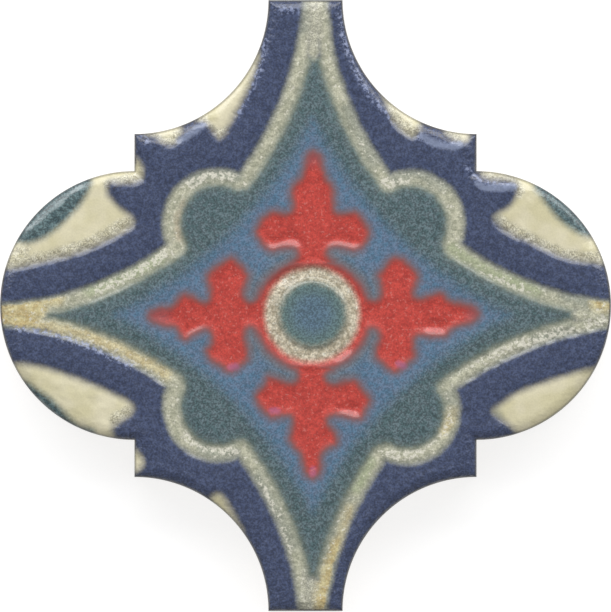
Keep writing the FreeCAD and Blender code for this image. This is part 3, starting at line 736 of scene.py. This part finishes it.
def renumber(tri, loop_start, sheet_start, flip):
    """Moves a triangle's numbers from its own sheet to the whole mesh."""
    moved = tuple(loop_start + v if v < loop_size else sheet_start + v - loop_size for v in tri)
    return moved[::-1] if flip else moved


faces += [renumber(t, 0, face_start, False) for t in face_tris]
faces += [renumber(t, last_ring, back_start, True) for t in back_tris]
coords.append(np.column_stack([face_points, np.full(len(face_points), THICKNESS)]))
coords.append(np.column_stack([back_points, np.zeros(len(back_points))]))
blank_mesh = bpy.data.meshes.new("glazed_tile")
blank_mesh.from_pydata((np.vstack(coords) * MM).tolist(), [], faces)
blank_mesh.validate()
blank = bpy.data.objects.new("blank", blank_mesh)
bpy.context.scene.collection.objects.link(blank)
print("blank:", len(blank_mesh.vertices), "vertices,", len(blank_mesh.polygons), "faces,",
      "sheets whole:", face_whole, back_whole)

# %% [markdown]
# ## Measuring the distance to each pattern
# This tree writes, on every vertex, how far it lies from a pattern: below zero within it, above zero
# outside. It looks straight down, so the rim is measured as well as the face. Such distances are the
# best a procedural glaze can get: a threshold gives a crisp edge, a wide ramp a soft one, and a little
# noise added before the threshold makes the edge wander as a brush does.

# %% Distance tree
ON_THE_FACE = 0.03

tree, start, end = new_tree("measure_pattern", {
    "Pattern": ("Object", None),
    "Half Width": ("Float", 0.0),
    "Filled": ("Bool", True),
    "Name": ("String", ""),
})
parts = new_node("ShaderNodeSeparateXYZ", {0: new_node("GeometryNodeInputPosition").outputs[0]})
flat = new_node("ShaderNodeCombineXYZ", {"X": parts.outputs["X"], "Y": parts.outputs["Y"]})
source = new_node("GeometryNodeObjectInfo", {"Object": start.outputs["Pattern"]})
wire = new_node("GeometryNodeCurveToMesh", {0: source.outputs["Geometry"]})
fill = new_node("GeometryNodeFillCurve", {0: source.outputs["Geometry"]})
to_edge = new_node("GeometryNodeProximity", {0: wire.outputs[0], "Source Position": flat.outputs[0]},
                   target_element="EDGES").outputs["Distance"]
to_face = new_node("GeometryNodeProximity", {0: fill.outputs[0], "Source Position": flat.outputs[0]},
                   target_element="FACES").outputs["Distance"]
touches = new_node("FunctionNodeCompare", {"A": to_face, "B": ON_THE_FACE * MM}, operation="LESS_THAN")
within = new_node("FunctionNodeBooleanMath", {0: touches.outputs[0], 1: start.outputs["Filled"]})
signed = new_node("GeometryNodeSwitch", {"Switch": within.outputs[0], "False": to_edge,
                                         "True": calc("MULTIPLY", to_edge, -1.0)}, input_type="FLOAT")
past_width = calc("SUBTRACT", signed.outputs[0], start.outputs["Half Width"])
keep = new_node("GeometryNodeStoreNamedAttribute", {"Geometry": start.outputs["Geometry"],
                                                    "Name": start.outputs["Name"],
                                                    "Value": calc("DIVIDE", past_width, MM)},
                data_type="FLOAT", domain="POINT")
feed(keep.outputs[0], end.inputs[0])

for name, (obj, _) in patterns.items():
    add_modifier(blank, tree, {
        "Pattern": obj,
        "Half Width": half_widths.get(name, 0.0) * MM,
        "Filled": name not in half_widths,
        "Name": name,
    })
print("measured:", len(patterns), "patterns")

# %% [markdown]
# ## Pressing the ornament
# The mould presses the star line, the ring and the cream patches a quarter of a millimetre down. The
# red lies in a pool twice as deep, and the fields between swell a little as the glaze draws together.
# One tree does it all: each pattern's distance goes through a smooth ramp as wide as its wall, the
# deepest one wins, two slow noises and the steep strokes say how firmly the mould bit, and the surface
# moves straight down. A sculpt would look as real, but a rule can be read and changed.

# %% Press sizes, in millimetres. A range is a ramp's start and end, and its value at each
PRESSED = {
    # pattern: depth, width of its wall, and how far outside the border the wall's middle lies
    "star_line": (0.24, 0.75, 0.0),
    "ring": (0.26, 0.6, 0.0),
    "leaf": (0.26, 0.75, 0.1),
    "crescent": (0.12, 0.6, 0.0),
}
POOL = (0.5, 1.3, -0.8)
STEEP_RANGE = (0.0, 1.6, 1.0, 0.5)
POOL_RANGE = (0.0, 1.1, 0.92, 0.45)
UNSTEADY_SCALE = 0.8
UNSTEADY_RANGE = (0.38, 0.6, 0.55, 1.08)
UNEVEN_SCALE = 0.13
UNEVEN_RANGE = (0.4, 0.65, 0.3, 0.8)
BUTTON_WALL = 0.6
SWELL = 0.07
SWELL_REACH = 1.6
WAVE_HEIGHT = 0.05
WAVE_SCALE = 0.35
WAVE_DETAIL = 1.5
FACE_STARTS = THICKNESS - 1.6 * RIM_DROP
FACE_IS_FULL = THICKNESS - 0.15 * RIM_DROP
BACK_SKIN = 0.05
GROOVE_WALL = (-0.35, 0.05)
print("deepest press, mm:", POOL[0])

# %% Press tree
tree, start, end = new_tree("press_ornament", {
    "Glaze": ("Material", None),
    "Wave Height": ("Float", WAVE_HEIGHT),
    "Groove Depth": ("Float", GROOVE_DEPTH),
})
place = new_node("GeometryNodeInputPosition")
spot = new_node("ShaderNodeVectorMath", {0: place.outputs[0], "Scale": 1 / MM}, operation="SCALE").outputs[0]


def field(name):
    """A measured distance, as a socket."""
    return new_node("GeometryNodeInputNamedAttribute", {"Name": name},
                    data_type="FLOAT").outputs["Attribute"]


def pressed(reach, depth, wall, border):
    """How far a pattern is pressed in, and how far off its border each spot lies."""
    return ramp(reach, border - wall / 2, border + wall / 2, depth, 0.0), calc("ABSOLUTE", reach)


sink, near = 0.0, SWELL_REACH
for name, sizes in PRESSED.items():
    down, away = pressed(field(name), *sizes)
    sink = calc("MAXIMUM", sink, down)
    near = calc("MINIMUM", near, away)
unsteady = ramp(noise(UNSTEADY_SCALE, 1.0), *UNSTEADY_RANGE)
steep = calc("MULTIPLY", ramp(field("steep"), *STEEP_RANGE), unsteady)
uneven = ramp(noise(UNEVEN_SCALE, 1.0), *UNEVEN_RANGE)
sink = calc("MULTIPLY", sink, calc("MAXIMUM", steep, uneven))
pool, away = pressed(calc("MINIMUM", field("cross"), field("red_ring")), *POOL)
near = calc("MINIMUM", near, away)
sink = calc("MAXIMUM", sink, calc("MULTIPLY", pool, ramp(field("steep"), *POOL_RANGE)))
sink = calc("MULTIPLY", sink, ramp(field("button"), -BUTTON_WALL / 2, BUTTON_WALL / 2, 0.0, 1.0))
sink = calc("ADD", sink, ramp(near, 0.0, SWELL_REACH, SWELL, 0.0))
sink = calc("ADD", sink, calc("MULTIPLY", noise(WAVE_SCALE, WAVE_DETAIL), start.outputs["Wave Height"]))
level = new_node("ShaderNodeSeparateXYZ", {0: spot}).outputs["Z"]
sink = calc("MULTIPLY", sink, ramp(level, FACE_STARTS, FACE_IS_FULL, 0.0, 1.0))
groove = calc("MULTIPLY", ramp(field("groove"), *GROOVE_WALL, 1.0, 0.0), start.outputs["Groove Depth"])
groove = calc("MULTIPLY", groove, ramp(level, 0.0, BACK_SKIN, 1.0, 0.0))
shift = new_node("ShaderNodeCombineXYZ", {"Z": calc("MULTIPLY", calc("SUBTRACT", groove, sink), MM)})
shaped = new_node("GeometryNodeSetPosition", {"Geometry": start.outputs["Geometry"],
                                              "Offset": shift.outputs[0]})
smooth = new_node("GeometryNodeSetShadeSmooth", {"Geometry": shaped.outputs[0]})
real = new_node("GeometryNodeRealizeInstances", {0: smooth.outputs[0]})
painted = new_node("GeometryNodeSetMaterial", {"Geometry": real.outputs[0],
                                               "Material": start.outputs["Glaze"]})
feed(painted.outputs[0], end.inputs[0])
press_tree = tree
print("press nodes:", len(tree.nodes))

# %% [markdown]
# ## The glaze
# Majolica is an opaque, glossy coat of tin glaze with oxides in it: cobalt for the blues, copper and
# iron for the grey teal and the ochre, and a selenium red. Its colour is mottled in grains of a tenth
# or two of a millimetre. The material stacks the fields in the order in which they were painted and
# lets noise push each border about, then adds gloss as the shader's own coat.

# %% Material helpers
def new_material(name):
    """A material and its tree, still empty."""
    made = bpy.data.materials.new(name)
    made.use_nodes = True
    made.node_tree.nodes.clear()
    return made, made.node_tree


def srgb(code):
    """A colour written as on a screen, such as 454f73, turned into linear light."""
    channels = [int(code[n:n + 2], 16) / 255 for n in (0, 2, 4)]
    return tuple(c / 12.92 if c <= 0.04045 else ((c + 0.055) / 1.055) ** 2.4 for c in channels) + (1.0,)


def distance(name):
    """A pattern's distance in millimetres, as measured on the mesh."""
    return new_node("ShaderNodeAttribute", attribute_name=name).outputs["Fac"]


def layer(share, under, over):
    """Lays one colour over another. A colour is a socket or a code."""
    under, over = (srgb(colour) if isinstance(colour, str) else colour for colour in (under, over))
    return new_node("ShaderNodeMix", {0: share, 6: under, 7: over}, data_type="RGBA").outputs[2]


glaze, tree = new_material("majolica_glaze")
coordinates = new_node("ShaderNodeTexCoord")
spot = new_node("ShaderNodeMapping", {"Vector": coordinates.outputs["Object"],
                                      "Scale": (1 / MM, 1 / MM, 1 / MM)}).outputs[0]
print("material:", glaze.name)

# %% [markdown]
# ## Grains and mottle
# A few noises do most of the work: a slow one and a medium one let borders wander and fray, two fine
# ones are the grain, one mottles every glaze, and a slow cloud tints the smooth cream. The rest make
# ripples and the specks of painted highlight on the red, the cream and the navy. All read Object
# coordinates in millimetres, so they sit still on the tile and keep their size.

# %% Noises
def stretched(low, *sizes):
    """A noise spread from its own low value and its mirrored high one to zero and one."""
    return ramp(noise(*sizes), low, 1 - low, 0.0, 1.0)


# a noise's numbers: scale, detail, roughness and offset
wander = calc("SUBTRACT", noise(0.9), 0.5)
fray = calc("SUBTRACT", noise(4.5, 2.0, 0.6, 11.0), 0.5)
grain = stretched(0.34, 5.2, 1.0, 0.5, 23.0)
grit = stretched(0.36, 7.0, 1.0, 0.5, 37.0)
mottle = stretched(0.35, 1.7, 2.0, 0.6, 43.0)
cloud = stretched(0.35, 0.28, 2.0, 0.5, 51.0)
ripple = noise(2.1, 1.0, 0.5, 67.0)
# noise for the pink glints painted on the red
flecks = noise(2.6, 2.0, 0.6, 83.0)
# noise for the white glints painted on the cream line and ring
white_glint_noise = noise(2.1, 2.0, 0.7, 71.0)
# noise for the pale glints painted on the navy
glint_speckle = noise(2.6, 2.0, 0.6, 97.0)
print("noises:", len(tree.nodes), "nodes")

# %% [markdown]
# ## Borders
# A threshold on a plain distance gives a border as clean as a printed one. Real glaze creeps, so the
# slow noise and the medium noise push each border about by a few tenths of a millimetre. The star line
# also spreads at the wide strokes, and leans a little into the teal field.

# %% Distances with hand-made borders
BORDERS = {
    # pattern: how far the slow noise and the medium noise push its border, in millimetres
    "star_field": (0.2, 0.2), "star_line": (0.35, 0.35), "diamond": (0.8, 0.5), "cross": (0.35, 0.35),
    "red_ring": (0.2, 0.3), "ring": (0.25, 0.35), "button": (0.5, 0.6), "leaf": (0.3, 0.25),
    "crescent": (0.2, 0.25), "ochre": (0.5, 0.5), "gold": (0.6, 0.6), "green": (0.6, 0.6),
    "tan": (0.6, 0.6), "iron": (0.8, 0.6), "shade": (0.6, 0.6), "worn": (0.6, 0.6),
    "sheen": (0.5, 0.5), "ridge": (0.6, 0.6), "dull": (0.6, 0.6), "bloom": (0.3, 0.3),
}
FIELD_SOFTNESS = 0.3
SPREAD_RANGE = (0.2, 2.0, -0.13, 0.0)
LEAN_IN = 0.04
LEAN_OUT = 0.05

edges = {}
for name, (wander_by, fray_by) in BORDERS.items():
    pushed = calc("MULTIPLY_ADD", wander, wander_by, distance(name))
    edges[name] = calc("MULTIPLY_ADD", fray, fray_by, pushed)
edges["red"] = calc("MINIMUM", edges["cross"], edges["red_ring"])
in_field = ramp(edges["star_field"], -FIELD_SOFTNESS, FIELD_SOFTNESS, 1.0, 0.0)
lean = calc("MULTIPLY_ADD", in_field, -(LEAN_IN + LEAN_OUT), LEAN_OUT)
spread = calc("ADD", edges["star_line"], ramp(distance("wide"), *SPREAD_RANGE))
edges["star_line"] = calc("ADD", spread, lean)
print("borders:", len(edges))

# %% [markdown]
# ## Glazes
# Each glaze is written as the eye reads it on the tile: a darker and a lighter colour for its mottle,
# and how strongly its grain shows. The button is bluer in its middle, and the leaves have the smoothest
# glaze of all.

# %% Glazes
GLAZES = {
    # glaze: darker colour, lighter colour, strength of its grain
    "navy": ("333e5c", "444f6d", 0.31), "teal": ("465d61", "5c6e74", 0.39),
    "blue": ("50728d", "617690", 0.24), "red": ("b43830", "c7443a", 0.15),
    "cream": ("a4a58f", "c3c2ab", 0.13), "ring cream": ("aba089", "d8cfb9", 0.24),
    "ochre": ("c2a96c", "d6c892", 0.12), "gold": ("cdbb8b", "e0d4a8", 0.14),
    "green": ("a2ae88", "a2ae88", 0.13), "tan": ("c0a688", "c0a688", 0.13),
    # white is the colour of the glints painted on the cream line and ring
    "shade": ("79837e", "79837e", 0.2), "white": ("e2dfd0", "e2dfd0", 0.1),
    "crescent": ("3d5358", "607679", 0.42), "notch": ("6c7273", "6c7273", 0.3),
    "biscuit": ("c9b597", "c9b597", 0.12),
}
GRITTY_GLAZES = {
    # the same, for two creams with a finer, sharper grain
    "worn cream": ("a8a796", "c0bfab", 0.24), "worn leaf": ("c6c1a5", "e0dcc4", 0.24),
}


def grained(colour, strength, source):
    """A colour whose brightness follows a grain, around one."""
    factor = calc("MULTIPLY_ADD", source, 2 * strength, 1 - strength)
    return new_node("ShaderNodeVectorMath", {0: colour, "Scale": factor}, operation="SCALE").outputs[0]


glazes = {}
for table, source in ((GLAZES, grain), (GRITTY_GLAZES, grit)):
    for name, (dark, light, strength) in table.items():
        glazes[name] = grained(layer(mottle, dark, light), strength, source)
button_middle = ramp(distance("button"), -2.6, -0.3, 0.0, 0.75)
button = layer(button_middle, layer(mottle, "516a79", "587286"), "5f766e")
glazes["button"] = grained(button, 0.3, grain)
glazes["smooth leaf"] = grained(layer(cloud, "d3cca6", "e0d9bb"), 0.03, grain)
print("glazes:", len(glazes))

# %% [markdown]
# ## Coats, field by field
# The order matters: navy ground, grey teal inside the star, blue diamond, red cross, cream line, ring,
# leaves, and last the stains, a dark line of painted shade along the rim, and the bare body below.
# Highlights are painted in among them: pink glints on the red, white glints on the cream, pale glints
# and sheen on the navy, and a pale line on the crescents' ridges. A coat covers up to an inner line about
# its border and ends at an outer one, so a wide pair gives a soft border. The red is a pool of glassy
# glaze, darker where it thins at its own border.

# %% Coats within the star
def paint(under, coats):
    """Lays coats over a colour, one after another."""
    for tint, edge, inner, outer, share in coats.values():
        cover = calc("MULTIPLY", ramp(edges[edge], inner, outer, 1.0, 0.0), share)
        under = layer(cover, under, glazes.get(tint, tint))
    return under


near_ring = ramp(distance("red_ring"), 0.8, 2.6, 0.6, 0.0)
on_red = ramp(edges["red"], -0.5, 0.2, 0.5, 0.0)
# painted highlight: pale pink glints scattered over the red
pink_glint_share = ramp(flecks, 0.58, 0.68, 0.0, 0.5)
colour = paint(glazes["navy"], {
    # coat: glaze or plain colour, the border it follows, inner line, outer line, how well it covers
    "teal field": ("teal", "star_field", -FIELD_SOFTNESS, FIELD_SOFTNESS, 1.0),
    "blue diamond": ("blue", "diamond", -1.0, 1.1, 1.0),
    "notch": ("notch", "red", 0.2, 1.3, near_ring),
    "red fringe": ("7a5f62", "red", -0.15, 0.75, 0.7),
    "thin red": ("8c5250", "red", -0.45, 0.15, 1.0),
    "red": ("red", "red", -0.9, -0.2, 1.0),
    "dull tip": ("85545a", "dull", -0.5, 0.9, on_red),
    "violet bloom": ("a8628a", "bloom", -0.1, 0.45, 0.6),
    # painted highlight: pink glints on the red
    "painted pink glints": ("d97f76", "red", -0.9, -0.6, pink_glint_share),
    "line edge": ("8b8f7c", "star_line", -0.3, 0.4, 0.4),
    "line run": ("7f8878", "star_line", -0.2, 1.0, calc("MULTIPLY", in_field, 0.4)),
})
print("painted within the star:", len(tree.nodes), "nodes")

# %% Cream line, ring, button, and painted white glints
on_line = ramp(edges["star_line"], -0.5, -0.1, 1.0, 0.0)
on_ring = ramp(edges["ring"], -0.4, -0.1, 1.0, 0.0)
# painted highlight: white glints on the cream line and ring, gathered near the white strokes and scattered
# at random
near_white_glints = ramp(distance("white"), 0.0, 0.8, 0.16, 0.0)
white_glint_share = ramp(calc("ADD", near_white_glints, white_glint_noise), 0.57, 0.7, 0.0, 0.8)
glazes["stained cream"] = paint(glazes["cream"], {
    "green": ("green", "green", -0.5, 0.5, 0.6),
    "tan": ("tan", "tan", -0.4, 0.5, 0.45),
    "gold": ("gold", "gold", -0.4, 0.6, 0.75),
    "worn": ("worn cream", "worn", -0.4, 0.5, 1.0),
    "shade": ("shade", "shade", -0.5, 0.5, 0.4),
})
colour = paint(colour, {
    "cream line": ("stained cream", "star_line", -0.75, 0.37, 1.0),
    "ochre": ("ochre", "ochre", -0.6, 0.7, calc("MULTIPLY", on_line, 0.765)),
    "ring": ("ring cream", "ring", -0.65, 0.4, 1.0),
})
# lays the painted white glints over the cream line and ring
colour = layer(calc("MULTIPLY", white_glint_share, calc("MAXIMUM", on_line, on_ring)), colour, glazes["white"])
colour = paint(colour, {
    "button edge": ("808573", "button", -0.3, 0.8, 0.45),
    "button": ("button", "button", -0.75, 0.45, 1.0),
})
print("line, ring and button:", len(tree.nodes), "nodes")

# %% Leaves, crescents, stains, painted highlights and painted rim shade
level = new_node("ShaderNodeSeparateXYZ", {0: spot}).outputs["Z"]
edges["height"] = calc("SUBTRACT", calc("MULTIPLY_ADD", wander, 1.2, level), THICKNESS)
edges["rim"] = calc("MULTIPLY", calc("MULTIPLY_ADD", fray, 0.15, distance("rim")), -1.0)
# painted highlight: speckled pale glints on the navy along their strokes, kept off the leaves
edges["frost"] = distance("frost")
near_painted_glints = ramp(edges["frost"], -0.15, 0.6, 0.14, 0.0)
painted_glint_share = ramp(calc("ADD", near_painted_glints, glint_speckle), 0.60, 0.74, 0.0, 0.8)
off_leaf = ramp(edges["leaf"], -0.1, 0.1, 0.2, 1.0)
on_crescent = ramp(edges["crescent"], -0.2, 0.1, 0.55, 0.0)
few_specks = ramp(fray, 0.03, 0.10, 0.0, 0.42)
# painted shade: how dark the line along the tile's edge is, lighter on the leaves
rim_shade_share = ramp(edges["leaf"], -0.4, 0.1, 0.57, 0.95)
glazes["stained leaf"] = paint(glazes["smooth leaf"], {
    "worn": ("worn leaf", "iron", -0.2, 0.5, 1.0),
    "shade": ("shade", "shade", -0.5, 0.5, 0.4),
})
colour = paint(colour, {
    "leaf edge": ("8f8c80", "leaf", -0.35, 0.4, 0.5),
    "leaf": ("stained leaf", "leaf", -0.9, 0.25, 1.0),
    "crescent": ("crescent", "crescent", -0.5, 0.65, 1.0),
    # painted highlight along the crescents' ridges
    "painted ridge highlight": ("a6b4b6", "ridge", -0.08, 0.17, on_crescent),
    "iron specks": ("61543f", "iron", -0.1, 0.3, few_specks),
    # painted highlight: pale glints on the navy
    "frost": ("8f9abb", "frost", -0.15, 0.6, calc("MULTIPLY", painted_glint_share, off_leaf)),
    # painted highlight: lavender sheen on the navy
    "sheen": ("8a95b1", "sheen", -0.25, 0.25, 0.75),
    # painted shade: a dark line all along the tile's outer edge
    "painted rim shade": ("262629", "rim", 0.06, 0.3, rim_shade_share),
    "bare biscuit": ("biscuit", "height", -2.4, -2.0, 1.0),
})
print("whole tile:", len(tree.nodes), "nodes")

# %% [markdown]
# ## Gloss and lumps
# The shader's own coat gives the gloss, and a bump of small lumps breaks it up as the real surface does:
# strong on the cream line and at the rim, where the glaze is thin over a rough body, and calm on the
# leaves. The glints, the sheen and the ridge lines in the colour are painted highlights besides.

# %% Gloss and lumps
ROUGHNESS = 0.4
COAT_WEIGHT = 0.5
COAT_ROUGHNESS = 0.15
BUMP_STRENGTH = 0.6
BUMP_HEIGHT = 0.08
GRAIN_LUMPS = 0.06
RIM_LUMPS = (-1.9, -0.8, 0.6, 3.2)
LINE_LUMPS = (-0.5, 0.1, 1.2, 0.0)
LEAF_CALM = (-0.8, 0.0, 0.35, 1.0)

lumps = calc("ADD", ramp(distance("rim"), *RIM_LUMPS), ramp(edges["star_line"], *LINE_LUMPS))
lumps = calc("MULTIPLY", lumps, ramp(edges["leaf"], *LEAF_CALM))
lumps = calc("MULTIPLY", ripple, lumps)
bump = new_node("ShaderNodeBump", {"Strength": BUMP_STRENGTH, "Distance": BUMP_HEIGHT * MM,
                                   "Height": calc("MULTIPLY_ADD", grain, GRAIN_LUMPS, lumps)})
shader = new_node("ShaderNodeBsdfPrincipled", {
    "Base Color": colour,
    "Roughness": ROUGHNESS,
    "Coat Weight": COAT_WEIGHT,
    "Coat Roughness": COAT_ROUGHNESS,
    "Normal": bump.outputs[0],
})
new_node("ShaderNodeOutputMaterial", {"Surface": shader.outputs[0]})
print("glaze nodes:", len(tree.nodes))

# %% [markdown]
# ## Firing
# The trees run once, and their result becomes a plain mesh. It replaces the frame's bare solid and
# rides on the same body, so the tile keeps its place and its size.

# %% Finished tile
add_modifier(blank, press_tree, {"Glaze": glaze, "Wave Height": WAVE_HEIGHT, "Groove Depth": GROOVE_DEPTH})
bpy.context.view_layer.update()
graph = bpy.context.evaluated_depsgraph_get()
fired = bpy.data.meshes.new_from_object(blank.evaluated_get(graph))
fired.name = "glazed_tile"
tile = bpy.data.objects.new("glazed_tile", fired)
bpy.context.scene.collection.objects.link(tile)
bpy.data.objects.remove(blank)
for obj, _ in patterns.values():
    bpy.data.objects.remove(obj)
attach(tile, "root")
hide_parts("tile")
triangles = sum(len(face.vertices) - 2 for face in fired.polygons)
heights = np.array([v.co.z for v in fired.vertices]) / MM
print("tile:", triangles, "triangles, heights", heights.min().round(3), heights.max().round(3))

# %% [markdown]
# ## Studio
# The photograph looks straight down on the tile, against white. A parallel camera has no perspective,
# so the neck ends and the sides stay hidden as they do there. The floor is white to the camera and to
# reflections, and still takes the tile's soft shadow. Under the tile it has an opening, a little
# smaller than the tile that covers it, so that the grooved back can be looked at from below. One soft
# box behind the tile's upper edge gives the walls of the pressed channels their highlights, and the
# world fills in the rest.

# %% Floor
FLOOR_REACH = 0.8
FLOOR_LAP = 0.8
FLOOR_GAP = 0.02
FLOOR_GREY = 0.8
FLOOR_SEEN_GREY = 0.38
FLOOR_GLOW = 0.79
lap = outline(FLOOR_LAP) * MM
around = lap / np.linalg.norm(lap, axis=1)[:, None] * FLOOR_REACH
count = len(lap)
corners = np.column_stack([np.vstack([lap, around]), np.full(2 * count, -FLOOR_GAP * MM)])
strips = [(n, (n + 1) % count, (n + 1) % count + count, n + count) for n in range(count)]
floor_mesh = bpy.data.meshes.new("floor")
floor_mesh.from_pydata(corners.tolist(), [], strips)
print("floor normal:", [round(v, 2) for v in floor_mesh.polygons[0].normal])
floor = bpy.data.objects.new("floor", floor_mesh)
bpy.context.scene.collection.objects.link(floor)
floor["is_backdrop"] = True
paper, tree = new_material("white_paper")
rays = new_node("ShaderNodeLightPath")
matt = new_node("ShaderNodeBsdfDiffuse", {"Color": (FLOOR_GREY, FLOOR_GREY, FLOOR_GREY, 1)})
pale = new_node("ShaderNodeBsdfDiffuse", {"Color": (FLOOR_SEEN_GREY, FLOOR_SEEN_GREY, FLOOR_SEEN_GREY, 1)})
glow = new_node("ShaderNodeEmission", {"Color": (1, 1, 1, 1), "Strength": FLOOR_GLOW})
bright = new_node("ShaderNodeAddShader", {0: pale.outputs[0], 1: glow.outputs[0]})
looked_at = calc("MAXIMUM", rays.outputs["Is Camera Ray"], rays.outputs["Is Glossy Ray"])
seen = new_node("ShaderNodeMixShader", {0: looked_at, 1: matt.outputs[0], 2: bright.outputs[0]})
new_node("ShaderNodeOutputMaterial", {"Surface": seen.outputs[0]})
floor_mesh.materials.append(paper)

# %% Lamp and camera
WORLD_LIGHT = 0.36
FRAME_PIXELS = (611, 612)
CAMERA_HEIGHT = 0.5

world = bpy.data.worlds.new("studio")
bpy.context.scene.world = world
world.use_nodes = True
background = world.node_tree.nodes["Background"]
background.inputs["Color"].default_value = (1, 1, 1, 1)
background.inputs["Strength"].default_value = WORLD_LIGHT


def soft_box(name, size, power, distance_away, tilt, heading):
    """A flat lamp that looks at the tile from a tilt off the vertical and a heading."""
    data = bpy.data.lights.new(name, "AREA")
    data.shape = "RECTANGLE"
    data.size, data.size_y = size
    data.energy = power
    lamp = bpy.data.objects.new(name, data)
    bpy.context.scene.collection.objects.link(lamp)
    tilt, heading = math.radians(tilt), math.radians(heading)
    away = Vector((math.sin(tilt) * math.sin(heading), math.sin(tilt) * math.cos(heading), math.cos(tilt)))
    lamp.location = away * distance_away
    lamp.rotation_euler = away.to_track_quat("Z", "Y").to_euler()


soft_box("upper_soft_box", size=(1.7, 0.38), power=8.0, distance_away=0.7, tilt=48, heading=0)

camera_data = bpy.data.cameras.new("camera")
camera_data.type = "ORTHO"
camera_data.ortho_scale = 2 * HALF_SIZE * MM * FRAME_PIXELS[1] / FRAME_PIXELS[0]
camera = bpy.data.objects.new("camera", camera_data)
half_pixel = camera_data.ortho_scale / FRAME_PIXELS[1] / 2
camera.location = (0, -half_pixel, CAMERA_HEIGHT)
bpy.context.scene.collection.objects.link(camera)
bpy.context.scene.camera = camera
bpy.context.scene.view_settings.view_transform = "Standard"
print("camera sees, mm:", round(camera_data.ortho_scale / MM, 2))

# %% Sizes and finish
sizes = {"cad": [list(corner) for corner in CAD_BOX], "visual": [list(corner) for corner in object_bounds()]}
print(sizes)
